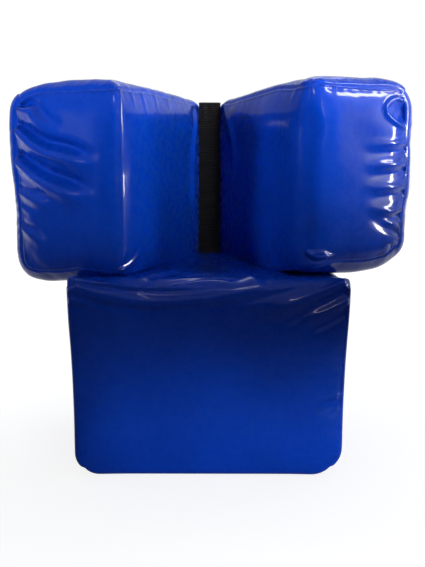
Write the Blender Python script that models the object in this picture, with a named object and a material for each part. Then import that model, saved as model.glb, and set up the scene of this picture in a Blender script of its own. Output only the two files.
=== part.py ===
"""A rugby jackal bag: a padded base block that carries two padded arms on a webbing hinge.

Metres, +Z up, the front faces -Y. The origin is the middle of the base's underside, on the floor.
"""

import math

import bmesh
import bpy
from mathutils import Matrix, Vector

# Driving sizes of the base, seam to seam
BASE_WIDTH = 0.576
BASE_TOP_SPREAD = 0.016
BASE_DEPTH = 0.4395
BASE_HEIGHT = 0.421
BASE_LOWER_EDGE_RADIUS = 0.044
BASE_UPPER_EDGE_RADIUS = 0.024

# How far each panel of the base bulges past its seams
BASE_FRONT_CROWN = 0.008
BASE_REAR_CROWN = 0.008
BASE_SIDE_CROWN = 0.016
BASE_TOP_CROWN = 0.0135
BASE_FLOOR_CROWN = 0.004

# Driving sizes of one arm, seam to seam
ARM_LENGTH = 0.445
ARM_THICKNESS = 0.256
ARM_HEIGHT = 0.3855
ARM_OUTER_EDGE_RADIUS = 0.032
ARM_RIDGE_RADIUS = 0.018

# How far each panel of an arm bulges past its seams
ARM_INNER_CROWN = 0.008
ARM_END_CROWN = 0.008
ARM_REAR_CROWN = 0.008
ARM_OUTER_CROWN = 0.032
ARM_TOP_CROWN = 0.024
ARM_UNDERSIDE_CROWN = 0.0135

# The rest pose: how far each arm is swung out from the centre plane, and how far its end stands up
LEFT_SPLAY = math.radians(21.6)
RIGHT_SPLAY = math.radians(24.2)
LEFT_LIFT = 0.000
RIGHT_LIFT = 0.012

# Width of the draw-in beside a seam, on the flat panels and on the strips round them, and its fullness
PANEL_ROLL = 0.055
STRIP_ROLL = 0.026
PANEL_FULLNESS_SHARE = 1.0
STRIP_FULLNESS_SHARE = 0.6

# Cover fabric, foam and the gaps between sewn and stacked pieces
COVER_THICKNESS = 0.0012
SEAM_GAP = 0.0003
SEAT_GAP = 0.0003
FOAM_GAP = 0.0005
STRIKE_FOAM_DEPTH = 0.060

# Webbing hinge
HINGE_HALF_WIDTH = 0.0287
HINGE_EDGE_GAP = 0.0004
SPINE_THICKNESS = 0.0025
SPINE_FOOT_HEIGHT = 0.275
SPINE_HEM_LENGTH = 0.036
ANCHOR_WIDTH = 0.096
ANCHOR_HEIGHT = 0.088
HINGE_TAPE_WIDTH = 0.040
HINGE_TAPE_SETBACK = 0.006
HINGE_TAPE_THICKNESS = 0.002

# Handles
HANDLE_LENGTH = 0.260
HANDLE_WIDTH = 0.038
HANDLE_THICKNESS = 0.0025
HANDLE_RISE = 0.030
HANDLE_FOOT = 0.046
HANDLE_RAMP = 0.040
BACKING_MARGIN = 0.009
PATCH_CORNER_RADIUS = 0.008
BASE_HANDLE_HEIGHT = 0.222
ARM_HANDLE_DROP = 0.150

# Zips
BASE_ZIP_LENGTH = 0.420
BASE_ZIP_HEIGHT = 0.112
ARM_ZIP_LENGTH = 0.290
ARM_ZIP_RISE = 0.058
ZIP_TAPE_WIDTH = 0.032
CHAIN_WIDTH = 0.006
CHAIN_HEIGHT = 0.0016
SLIDER_LENGTH = 0.019
SLIDER_WIDTH = 0.013
SLIDER_HEIGHT = 0.0046
SLIDER_CLEARANCE = 0.0004
SLIDER_NOSE_TAPER = 0.0025
BAIL_INNER_RADIUS = 0.0021
BAIL_THICKNESS = 0.0016
BAIL_WIDTH = 0.0026
PULLER_LENGTH = 0.040
PULLER_WIDTH = 0.010
PULLER_THICKNESS = 0.0018
PULLER_BAR = 0.0020
PULLER_SLOT_LENGTH = 0.0062
PULLER_SLOT_WIDTH = 0.0046

# Vent eyelets
EYELET_FLANGE_RADIUS = 0.010
EYELET_HOLE_RADIUS = 0.0042
EYELET_WALL = 0.0010
EYELET_LIP_HEIGHT = 0.0016
BASE_VENT_OFFSET = 0.195
BASE_VENT_HEIGHT = 0.330
ARM_VENT_DROP = 0.070
ARM_VENT_SETBACK = 0.085

# One overrun serves all the cutters
CUT_OVERRUN = 0.004

# Counts
ARC_STEPS = 6
RING_STEPS = 20
RAMP_STEPS = 6

# Where the drawn-in edge is sampled, as shares of the panels' draw-in
ROLL_STATION_SHARES = (0.1, 0.25, 1.0)

# Cosine limits: how straight a seam runs on at a point, and how exactly a point lies on a face
STRAIGHT_SEAM_SHARE = 0.7
ON_FACE_SHARE = 0.99999

# Width of the zip chain's crest over its foot
CHAIN_CREST_SHARE = 0.8

# Faces that meet at a sharper angle than this keep a crisp edge
CRISP_ANGLE = math.radians(40)

# Heights and depths that follow from the sizes above
BASE_TOP = BASE_FLOOR_CROWN + BASE_HEIGHT + BASE_TOP_CROWN
ARM_BOTTOM_SEAM = BASE_TOP + SEAT_GAP + ARM_UNDERSIDE_CROWN
ARM_TOP_SEAM = ARM_BOTTOM_SEAM + ARM_HEIGHT
ARM_TOP = ARM_TOP_SEAM + ARM_TOP_CROWN
REAR_FACE = BASE_DEPTH / 2 + BASE_REAR_CROWN
HINGE_DEPTH = REAR_FACE + 2 * SEAT_GAP + COVER_THICKNESS + SPINE_THICKNESS / 2
SLIDER_TOP = CHAIN_HEIGHT + SLIDER_CLEARANCE + SLIDER_HEIGHT
PULL_AXIS_HEIGHT = SLIDER_TOP + BAIL_INNER_RADIUS

# The six sides of a block: at zero or at full size along X, Y and Z. Y runs from the hinge side forwards.
INNER, OUTER, REAR, FRONT, UNDERSIDE, TOP = range(6)
SIDES = (INNER, OUTER, REAR, FRONT, UNDERSIDE, TOP)


def clear_scene():
    """Remove every object, so that the file holds the bag alone."""
    for item in list(bpy.data.objects):
        bpy.data.objects.remove(item, do_unlink=True)


def make_material(name, colour, roughness, metallic=0.0):
    """A plain Principled material in the piece's own colour."""
    material = bpy.data.materials.new(name)
    material.use_nodes = True
    shader = material.node_tree.nodes["Principled BSDF"]
    shader.inputs["Base Color"].default_value = (*colour, 1.0)
    shader.inputs["Roughness"].default_value = roughness
    shader.inputs["Metallic"].default_value = metallic
    material.diffuse_color = (*colour, 1.0)
    return material


def make_materials():
    """The six finishes of the bag."""
    return {
        "cover": make_material("coated_fabric_blue", (0.004, 0.035, 0.300), 0.22),
        "foam": make_material("foam_grey", (0.450, 0.450, 0.430), 0.95),
        "strike": make_material("foam_white", (0.720, 0.710, 0.660), 0.95),
        "webbing": make_material("webbing_black", (0.010, 0.010, 0.011), 0.80),
        "zip": make_material("zip_black", (0.014, 0.014, 0.016), 0.50),
        "nickel": make_material("nickel", (0.560, 0.550, 0.530), 0.30, 1.0),
    }


def add_empty(name, matrix, parent=None):
    """A frame that its children turn or slide with."""
    empty = bpy.data.objects.new(name, None)
    empty.empty_display_size = HINGE_HALF_WIDTH
    bpy.context.collection.objects.link(empty)
    empty.parent = parent
    empty.matrix_local = matrix
    return empty


def add_object(name, form, material, matrix=Matrix.Identity(4), parent=None, smooth=False):
    """Turn a bmesh into a named object with its own copy of the material."""
    bmesh.ops.recalc_face_normals(form, faces=form.faces)
    mesh = bpy.data.meshes.new(name)
    form.to_mesh(mesh)
    form.free()
    if smooth:
        mesh.shade_smooth()
        mesh.set_sharp_from_angle(angle=CRISP_ANGLE)
    own = material.copy()
    own.name = name + "_finish"
    mesh.materials.append(own)
    item = bpy.data.objects.new(name, mesh)
    bpy.context.collection.objects.link(item)
    item.parent = parent
    item.matrix_local = matrix
    return item


def cut(target, cutter):
    """Cut one object out of another and keep the cutter as a guide."""
    cutter.hide_render = True
    cutter.display_type = "WIRE"
    modifier = target.modifiers.new("cut_" + cutter.name, "BOOLEAN")
    modifier.operation = "DIFFERENCE"
    modifier.solver = "EXACT"
    modifier.object = cutter


def join_by_union(target, tool):
    """Fuse a guide object into the target."""
    tool.hide_render = True
    tool.display_type = "WIRE"
    modifier = target.modifiers.new("join_" + tool.name, "BOOLEAN")
    modifier.operation = "UNION"
    modifier.solver = "EXACT"
    modifier.object = tool


class Block:
    """The outer form of one padded block: a box with soft edges, crowned panels and drawn-in seams."""

    def __init__(self, size, crowns, strip, panels, edges):
        self.size = size
        self.crowns = crowns
        self.strip = strip
        self.groups = (strip, *panels)
        self.edges = edges
        self.form = self.cut_box()
        self.layer = self.form.faces.layers.int["side"]
        self.shape()

    def distance(self, point, side):
        """How far a point of the plain box lies from one of its sides."""
        axis = side // 2
        return point[axis] if side % 2 == 0 else self.size[axis] - point[axis]

    @staticmethod
    def outward(side):
        """The outward direction of a side."""
        direction = Vector((0, 0, 0))
        direction[side // 2] = 1 if side % 2 else -1
        return direction

    def stations(self, axis):
        """Where the box is cut along one axis: across both drawn-in edges, round the soft edges, and midway."""
        length = self.size[axis]
        near = [share * PANEL_ROLL for share in ROLL_STATION_SHARES]
        places = near + [length - step for step in near]
        for side_a, side_b, radius in self.edges:
            for side in (side_a, side_b):
                if side // 2 == axis:
                    steps = (radius / 2, radius)
                    places += [length - step if side % 2 else step for step in steps]
        return self.thin_out(sorted(places))

    @staticmethod
    def thin_out(places):
        """Leave out a station that lies too close to the one before it."""
        kept = []
        for place in places:
            if not kept or place - kept[-1] > PANEL_ROLL * ROLL_STATION_SHARES[0] / 2:
                kept.append(place)
        return kept

    def cut_box(self):
        """A triangulated box with one corner at the origin, each face marked with its side."""
        form = bmesh.new()
        bmesh.ops.create_cube(form, size=1.0)
        for vert in form.verts:
            vert.co = Vector([self.size[axis] if vert.co[axis] > 0 else 0 for axis in range(3)])
        for axis in range(3):
            direction = self.outward(2 * axis + 1)
            for place in self.stations(axis):
                everything = list(form.verts) + list(form.edges) + list(form.faces)
                bmesh.ops.bisect_plane(form, geom=everything, plane_co=direction * place, plane_no=direction)
        form.normal_update()
        layer = form.faces.layers.int.new("side")
        for face in form.faces:
            face[layer] = max(SIDES, key=lambda side: face.normal.dot(self.outward(side)))
        bmesh.ops.triangulate(form, faces=form.faces, quad_method="FIXED")
        return form

    def soften(self, point):
        """Wrap a point of the box round the soft edges. Returns the new point and the outward direction there."""
        moved = Vector(point)
        direction = None
        for side_a, side_b, radius in self.edges:
            reach_a = radius - self.distance(point, side_a)
            reach_b = radius - self.distance(point, side_b)
            if reach_a <= 0 or reach_b <= 0:
                continue
            reach = math.hypot(reach_a, reach_b)
            squeeze = max(reach_a, reach_b) / reach
            moved -= self.outward(side_a) * reach_a * (1 - squeeze)
            moved -= self.outward(side_b) * reach_b * (1 - squeeze)
            if max(reach_a, reach_b) > radius * ON_FACE_SHARE:
                direction = (self.outward(side_a) * reach_a + self.outward(side_b) * reach_b) / reach
        return moved, direction

    @staticmethod
    def roll(distance, width, fullness):
        """How much of a panel's crown is left at a distance from a seam: none on it, all past the roll."""
        if distance >= width:
            return 1.0
        return (1 - (1 - distance / width) ** 2) ** fullness

    def shape(self):
        """Move the box's points to the padded form."""
        for vert in self.form.verts:
            sides = {face[self.layer] for face in vert.link_faces}
            group = next(group for group in self.groups if sides & group)
            point = vert.co.copy()
            moved, direction = self.soften(point)
            if direction is None or not sides <= group:
                direction = self.outward(min(sides & group))
            width = STRIP_ROLL if group is self.strip else PANEL_ROLL
            fullness = STRIP_FULLNESS_SHARE if group is self.strip else PANEL_FULLNESS_SHARE
            factor = 1.0
            for side in SIDES:
                if side not in group:
                    factor *= self.roll(max(self.distance(point, side), 0), width, fullness)
            height = 0.0
            for side in group:
                share = max(direction.dot(self.outward(side)), 0) ** 2
                height += self.crowns[side] * share
            vert.co = moved + direction * height * factor

    def place(self, change):
        """Apply a function to every point of the finished form, keeping its faces outward."""
        for vert in self.form.verts:
            vert.co = change(vert.co)
        if self.form.calc_volume(signed=True) < 0:
            bmesh.ops.reverse_faces(self.form, faces=self.form.faces)
        self.form.normal_update()

    def seam_shift(self, vert, region):
        """The unit pull of a border point away from its seam, and none for a point inside the panel."""
        border = [edge for edge in vert.link_edges if sum(face in region for face in edge.link_faces) == 1]
        if not border:
            return Vector((0, 0, 0))
        first, second = [(edge.other_vert(vert).co - vert.co).normalized() for edge in border]
        if first.dot(second) > -STRAIGHT_SEAM_SHARE:
            return first + second
        along = (first - second).normalized()
        inward = Vector((0, 0, 0))
        for face in vert.link_faces:
            if face in region:
                inward += face.calc_center_median() - vert.co
        inward -= along * inward.dot(along)
        return inward.normalized()

    def panel(self, sides):
        """The cover over some of the sides: a closed shell as thick as the fabric, drawn back from its seams."""
        region = {face for face in self.form.faces if face[self.layer] in sides}
        shell = bmesh.new()
        outer = {}
        inner = {}
        for vert in {vert for face in region for vert in face.verts}:
            place = vert.co + self.seam_shift(vert, region) * SEAM_GAP
            outer[vert] = shell.verts.new(place)
            inner[vert] = shell.verts.new(place - vert.normal * vert.calc_shell_factor() * COVER_THICKNESS)
        for face in region:
            shell.faces.new([outer[vert] for vert in face.verts])
            shell.faces.new([inner[vert] for vert in reversed(face.verts)])
            for loop in face.loops:
                if sum(other in region for other in loop.edge.link_faces) == 1:
                    start = loop.vert
                    end = loop.link_loop_next.vert
                    shell.faces.new([outer[end], outer[start], inner[start], inner[end]])
        return shell

    def filling(self, keep_front, split):
        """The foam inside the cover, on one side of the glue line between core and strike layer."""
        foam = self.form.copy()
        foam.normal_update()
        inset = COVER_THICKNESS + FOAM_GAP
        places = {vert: vert.co - vert.normal * vert.calc_shell_factor() * inset for vert in foam.verts}
        for vert, place in places.items():
            vert.co = place
        everything = list(foam.verts) + list(foam.edges) + list(foam.faces)
        offset = -SEAT_GAP / 2 if keep_front else SEAT_GAP / 2
        forward = Vector((0, -1, 0))
        cut_place = split - forward * offset
        result = bmesh.ops.bisect_plane(
            foam, geom=everything, plane_co=cut_place, plane_no=forward,
            clear_inner=keep_front, clear_outer=not keep_front)
        rim = [item for item in result["geom_cut"] if isinstance(item, bmesh.types.BMEdge)]
        bmesh.ops.holes_fill(foam, edges=rim)
        return foam


def rounded_plate(width, height, thickness, radius):
    """A flat patch with rounded corners, lying on its back face at z = 0 and centred on the origin."""
    plate = bmesh.new()
    outline = []
    for turn in range(4):
        centre_x = (width / 2 - radius) * (1 if turn in (0, 3) else -1)
        centre_y = (height / 2 - radius) * (1 if turn in (0, 1) else -1)
        for step in range(ARC_STEPS // 2 + 1):
            angle = (turn + step / (ARC_STEPS // 2)) * math.pi / 2
            outline.append((centre_x + radius * math.cos(angle), centre_y + radius * math.sin(angle), 0))
    face = plate.faces.new([plate.verts.new(place) for place in outline])
    grown = bmesh.ops.extrude_face_region(plate, geom=[face])
    raised = [item for item in grown["geom"] if isinstance(item, bmesh.types.BMVert)]
    bmesh.ops.translate(plate, verts=raised, vec=(0, 0, thickness))
    return plate


def box(low, high):
    """A box between two corners."""
    form = bmesh.new()
    bmesh.ops.create_cube(form, size=1.0)
    middle = (Vector(low) + Vector(high)) / 2
    span = Vector(high) - Vector(low)
    for vert in form.verts:
        vert.co = Vector([middle[axis] + vert.co[axis] * span[axis] for axis in range(3)])
    return form


def extruded(outline, depth):
    """An outline in X and Z, closed and pushed along Y by the depth, centred on Y = 0."""
    form = bmesh.new()
    face = form.faces.new([form.verts.new((x, -depth / 2, z)) for x, z in outline])
    grown = bmesh.ops.extrude_face_region(form, geom=[face])
    moved = [item for item in grown["geom"] if isinstance(item, bmesh.types.BMVert)]
    bmesh.ops.translate(form, verts=moved, vec=(0, depth, 0))
    return form


def turned(profile):
    """A closed ring turned about Z from a profile of radius and height."""
    form = bmesh.new()
    verts = [form.verts.new((radius, 0, height)) for radius, height in profile]
    edges = [form.edges.new((verts[i - 1], verts[i])) for i in range(len(verts))]
    bmesh.ops.spin(
        form, geom=verts + edges, cent=(0, 0, 0), axis=(0, 0, 1),
        angle=2 * math.pi, steps=RING_STEPS, use_merge=True)
    bmesh.ops.remove_doubles(form, verts=form.verts, dist=SEAM_GAP / 3)
    return form


def face_frame(origin, out):
    """A frame on an upright face: X along it, Y up and Z out of it."""
    up = Vector((0, 0, 1))
    along = up.cross(out)
    rotation = Matrix((along, up, out)).transposed().to_4x4()
    return Matrix.Translation(origin) @ rotation


def face_towards(form, direction):
    """Turn an open sheet's faces so that they look one way on the whole."""
    bmesh.ops.recalc_face_normals(form, faces=form.faces)
    form.normal_update()
    if sum(face.normal.dot(direction) for face in form.faces) < 0:
        bmesh.ops.reverse_faces(form, faces=form.faces)
        form.normal_update()


def add_webbing(name, form, thickness, materials, matrix, parent):
    """Webbing from an open sheet, thickened on the side that its faces look to."""
    mesh = bpy.data.meshes.new(name)
    form.to_mesh(mesh)
    form.free()
    finish = materials["webbing"].copy()
    finish.name = name + "_finish"
    mesh.materials.append(finish)
    item = bpy.data.objects.new(name, mesh)
    bpy.context.collection.objects.link(item)
    item.parent = parent
    item.matrix_local = matrix
    thick = item.modifiers.new("webbing_thickness", "SOLIDIFY")
    thick.thickness = thickness
    thick.offset = 1
    thick.use_even_offset = True


def add_handle(prefix, frame, materials, parent):
    """A webbing handle that stands off its reinforcing strip between two sewn feet."""
    backing = rounded_plate(
        HANDLE_LENGTH + 2 * BACKING_MARGIN, HANDLE_WIDTH + 2 * BACKING_MARGIN, COVER_THICKNESS,
        PATCH_CORNER_RADIUS)
    seat = frame @ Matrix.Translation((0, 0, SEAT_GAP))
    add_object(prefix + "_handle_backing", backing, materials["cover"], seat, parent)

    ramp_start = HANDLE_LENGTH / 2 - HANDLE_FOOT
    places = [(-HANDLE_LENGTH / 2, 0)]
    for step in range(RAMP_STEPS + 1):
        share = step / RAMP_STEPS
        places.append((-ramp_start + share * HANDLE_RAMP, HANDLE_RISE * (1 - math.cos(share * math.pi)) / 2))
    places += [(-x, z) for x, z in reversed(places)]
    path = bmesh.new()
    verts = [path.verts.new((x, -HANDLE_WIDTH / 2, z)) for x, z in places]
    edges = [path.edges.new((verts[i], verts[i + 1])) for i in range(len(verts) - 1)]
    grown = bmesh.ops.extrude_edge_only(path, edges=edges)
    far = [item for item in grown["geom"] if isinstance(item, bmesh.types.BMVert)]
    bmesh.ops.translate(path, verts=far, vec=(0, HANDLE_WIDTH, 0))
    lie = frame @ Matrix.Translation((0, 0, 2 * SEAT_GAP + COVER_THICKNESS))
    face_towards(path, Vector((0, 0, 1)))
    add_webbing(prefix + "_handle_strap", path, HANDLE_THICKNESS, materials, lie, parent)


def add_vent(name, cover, frame, materials, parent):
    """A turned eyelet: flange on the cover, barrel through it, and the hole it needs."""
    hole = bmesh.new()
    bmesh.ops.create_cone(
        hole, cap_ends=True, segments=RING_STEPS, radius1=EYELET_HOLE_RADIUS + EYELET_WALL + SEAT_GAP,
        radius2=EYELET_HOLE_RADIUS + EYELET_WALL + SEAT_GAP, depth=2 * CUT_OVERRUN)
    cutter = add_object("guide_" + name, hole, materials["nickel"], frame, parent)
    cut(cover, cutter)
    barrel = EYELET_HOLE_RADIUS + EYELET_WALL
    profile = [
        (EYELET_HOLE_RADIUS, -COVER_THICKNESS),
        (barrel, -COVER_THICKNESS),
        (barrel, SEAT_GAP),
        (EYELET_FLANGE_RADIUS, SEAT_GAP),
        (EYELET_FLANGE_RADIUS - EYELET_WALL / 2, SEAT_GAP + EYELET_WALL),
        (barrel, SEAT_GAP + EYELET_LIP_HEIGHT),
        (EYELET_HOLE_RADIUS, SEAT_GAP + EYELET_LIP_HEIGHT - EYELET_WALL / 3),
    ]
    add_object(name, turned(profile), materials["nickel"], frame, parent, smooth=True)


def add_zip(prefix, cover, frame, length, materials, parent):
    """A zip let into a cover: tape and chain in their window, and a slider with its puller on the chain."""
    window = box(
        (-length / 2 - SEAT_GAP, -ZIP_TAPE_WIDTH / 2 - SEAT_GAP, -CUT_OVERRUN),
        (length / 2 + SEAT_GAP, ZIP_TAPE_WIDTH / 2 + SEAT_GAP, CUT_OVERRUN))
    cutter = add_object("guide_" + prefix + "_zip_window", window, materials["zip"], frame, parent)
    cut(cover, cutter)

    half_tape = ZIP_TAPE_WIDTH / 2
    half_chain = CHAIN_WIDTH / 2
    section = [
        (-half_tape, -COVER_THICKNESS), (half_tape, -COVER_THICKNESS), (half_tape, 0), (half_chain, 0),
        (half_chain * CHAIN_CREST_SHARE, CHAIN_HEIGHT), (-half_chain * CHAIN_CREST_SHARE, CHAIN_HEIGHT),
        (-half_chain, 0), (-half_tape, 0)]
    across = Matrix.Rotation(math.pi / 2, 4, "Z")
    add_object(prefix + "_zip_tape", extruded(section, length), materials["zip"], frame @ across, parent)

    parked = frame @ Matrix.Translation((length / 2 - SLIDER_LENGTH / 2, 0, 0))
    slide = add_empty(prefix + "_zip_slide", parked, parent)
    add_slider(prefix, slide, materials)


def add_slider(prefix, slide, materials):
    """The slider: a body astride the chain with a bail on top, and the puller hung on its bar in the bail."""
    half_length = SLIDER_LENGTH / 2
    half_width = SLIDER_WIDTH / 2
    body = box((-half_length, -half_width, SLIDER_CLEARANCE), (half_length, half_width, SLIDER_TOP))
    for vert in body.verts:
        if vert.co.x > 0:
            vert.co.y -= math.copysign(SLIDER_NOSE_TAPER, vert.co.y)
    item = add_object(prefix + "_zip_slider", body, materials["nickel"], parent=slide)
    channel_half = CHAIN_WIDTH / 2 + SLIDER_CLEARANCE
    channel = add_object(
        "guide_" + prefix + "_channel",
        box((-half_length - CUT_OVERRUN, -channel_half, -CUT_OVERRUN),
            (half_length + CUT_OVERRUN, channel_half, CHAIN_HEIGHT + SLIDER_CLEARANCE)),
        materials["nickel"], parent=slide)
    cut(item, channel)
    outer = BAIL_INNER_RADIUS + BAIL_THICKNESS
    arch = []
    for radius, order in ((outer, range(ARC_STEPS + 1)), (BAIL_INNER_RADIUS, range(ARC_STEPS, -1, -1))):
        foot = (radius if order[0] == 0 else -radius, SLIDER_TOP - BAIL_THICKNESS / 2)
        arch.append(foot)
        for step in order:
            angle = math.pi * step / ARC_STEPS
            arch.append((radius * math.cos(angle), PULL_AXIS_HEIGHT + radius * math.sin(angle)))
        arch.append((-foot[0], foot[1]))
    bail = add_object("guide_" + prefix + "_bail", extruded(arch, BAIL_WIDTH), materials["nickel"], parent=slide)
    join_by_union(item, bail)

    axis = add_empty(prefix + "_pull_axis", Matrix.Translation((0, 0, PULL_AXIS_HEIGHT)), slide)
    half_thick = PULLER_THICKNESS / 2
    tag = rounded_plate(PULLER_LENGTH, PULLER_WIDTH, PULLER_THICKNESS, PULLER_WIDTH / 4)
    bmesh.ops.translate(tag, verts=tag.verts, vec=(PULLER_BAR / 2 - PULLER_LENGTH / 2, 0, -half_thick))
    puller = add_object(prefix + "_zip_puller", tag, materials["nickel"], parent=axis)
    slot = add_object(
        "guide_" + prefix + "_puller_slot",
        box((-PULLER_BAR / 2 - PULLER_SLOT_LENGTH, -PULLER_SLOT_WIDTH / 2, -CUT_OVERRUN),
            (-PULLER_BAR / 2, PULLER_SLOT_WIDTH / 2, CUT_OVERRUN)),
        materials["nickel"], parent=axis)
    cut(puller, slot)


def add_hinge_spine(materials):
    """The upright webbing between the arms, its top edge folded over to the rear, and the patch under its foot."""
    frame = face_frame((0, REAR_FACE, 0), Vector((0, 1, 0)))
    patch = rounded_plate(ANCHOR_WIDTH, ANCHOR_HEIGHT, COVER_THICKNESS, PATCH_CORNER_RADIUS)
    patch_middle = SPINE_FOOT_HEIGHT + ANCHOR_HEIGHT / 2 - BACKING_MARGIN
    seat = frame @ Matrix.Translation((0, patch_middle, SEAT_GAP))
    add_object("hinge_anchor_patch", patch, materials["cover"], seat)

    front = -SPINE_THICKNESS / 2
    rear = SPINE_THICKNESS / 2
    fold_radius = SPINE_THICKNESS + SEAT_GAP / 2
    fold_middle = rear + SEAT_GAP / 2
    fold_height = ARM_TOP - fold_radius
    outline = [(front, SPINE_FOOT_HEIGHT)]
    for step in range(ARC_STEPS + 1):
        angle = math.pi * (1 - step / ARC_STEPS)
        outline.append((fold_middle + fold_radius * math.cos(angle), fold_height + fold_radius * math.sin(angle)))
    hem_end = ARM_TOP - SPINE_HEM_LENGTH
    outline += [
        (fold_middle + fold_radius, hem_end), (rear + SEAT_GAP, hem_end), (rear + SEAT_GAP, fold_height),
        (rear, fold_height), (rear, SPINE_FOOT_HEIGHT)]
    width = 2 * (HINGE_HALF_WIDTH - HINGE_EDGE_GAP)
    turn = Matrix.Translation((0, HINGE_DEPTH, 0)) @ Matrix.Rotation(math.pi / 2, 4, "Z")
    add_object("hinge_spine", extruded(outline, width), materials["webbing"], turn)


def add_base(materials):
    """The fixed block: four cover panels, two foams, zip, handle and vents."""
    band = frozenset((INNER, OUTER, UNDERSIDE, TOP))
    front = frozenset((FRONT,))
    rear = frozenset((REAR,))
    crowns = {
        INNER: BASE_SIDE_CROWN, OUTER: BASE_SIDE_CROWN, REAR: BASE_REAR_CROWN, FRONT: BASE_FRONT_CROWN,
        UNDERSIDE: BASE_FLOOR_CROWN, TOP: BASE_TOP_CROWN}
    edges = (
        (INNER, UNDERSIDE, BASE_LOWER_EDGE_RADIUS), (OUTER, UNDERSIDE, BASE_LOWER_EDGE_RADIUS),
        (INNER, TOP, BASE_UPPER_EDGE_RADIUS), (OUTER, TOP, BASE_UPPER_EDGE_RADIUS))
    block = Block((BASE_WIDTH, BASE_DEPTH, BASE_HEIGHT), crowns, band, (front, rear), edges)

    def stand(point):
        """Centre the block, turn it to the front and let it widen towards the top."""
        spread = 1 + BASE_TOP_SPREAD / BASE_WIDTH * point.z / BASE_HEIGHT
        return Vector((
            (point.x - BASE_WIDTH / 2) * spread, BASE_DEPTH / 2 - point.y, point.z + BASE_FLOOR_CROWN))

    block.place(stand)
    add_object("base_front_cover", block.panel({FRONT}), materials["cover"], smooth=True)
    add_object("base_side_cover", block.panel({INNER, OUTER, TOP}), materials["cover"], smooth=True)
    add_object("base_floor_cover", block.panel({UNDERSIDE}), materials["cover"], smooth=True)
    rear_cover = add_object("base_rear_cover", block.panel({REAR}), materials["cover"], smooth=True)
    glue_line = Vector((0, STRIKE_FOAM_DEPTH - BASE_DEPTH / 2, 0))
    add_object("base_foam_core", block.filling(False, glue_line), materials["foam"], smooth=True)
    add_object("base_strike_foam", block.filling(True, glue_line), materials["strike"], smooth=True)

    out = Vector((0, 1, 0))
    zip_frame = face_frame((0, REAR_FACE, BASE_ZIP_HEIGHT), out)
    add_zip("base", rear_cover, zip_frame, BASE_ZIP_LENGTH, materials, None)
    add_handle("base", face_frame((0, REAR_FACE, BASE_HANDLE_HEIGHT), out), materials, None)
    for name, offset in (("base_vent_left", -BASE_VENT_OFFSET), ("base_vent_right", BASE_VENT_OFFSET)):
        add_vent(name, rear_cover, face_frame((offset, REAR_FACE, BASE_VENT_HEIGHT), out), materials, None)


def add_hinge_tape(name, block, materials, parent):
    """Webbing sewn down the arm's rear panel beside the hinge, following the panel's crown."""
    tape = bmesh.new()
    copies = {}
    far = HINGE_TAPE_SETBACK + HINGE_TAPE_WIDTH
    low = ARM_BOTTOM_SEAM + HINGE_TAPE_SETBACK
    high = ARM_TOP_SEAM - HINGE_TAPE_SETBACK
    for face in block.form.faces:
        if face[block.layer] != REAR:
            continue
        for vert in face.verts:
            if vert not in copies:
                copies[vert] = tape.verts.new(vert.co)
        tape.faces.new([copies[vert] for vert in face.verts])
    side = math.copysign(1, max(tape.verts, key=lambda vert: abs(vert.co.x)).co.x)
    for place, direction in (
            ((side * HINGE_TAPE_SETBACK, 0, 0), (-side, 0, 0)), ((side * far, 0, 0), (side, 0, 0)),
            ((0, 0, low), (0, 0, -1)), ((0, 0, high), (0, 0, 1))):
        everything = list(tape.verts) + list(tape.edges) + list(tape.faces)
        bmesh.ops.bisect_plane(tape, geom=everything, plane_co=place, plane_no=direction, clear_outer=True)
    face_towards(tape, Vector((0, 1, 0)))
    places = {vert: vert.co + vert.normal * SEAT_GAP for vert in tape.verts}
    for vert, place in places.items():
        vert.co = place
    add_webbing(name, tape, HINGE_TAPE_THICKNESS, materials, Matrix.Identity(4), parent)


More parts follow.
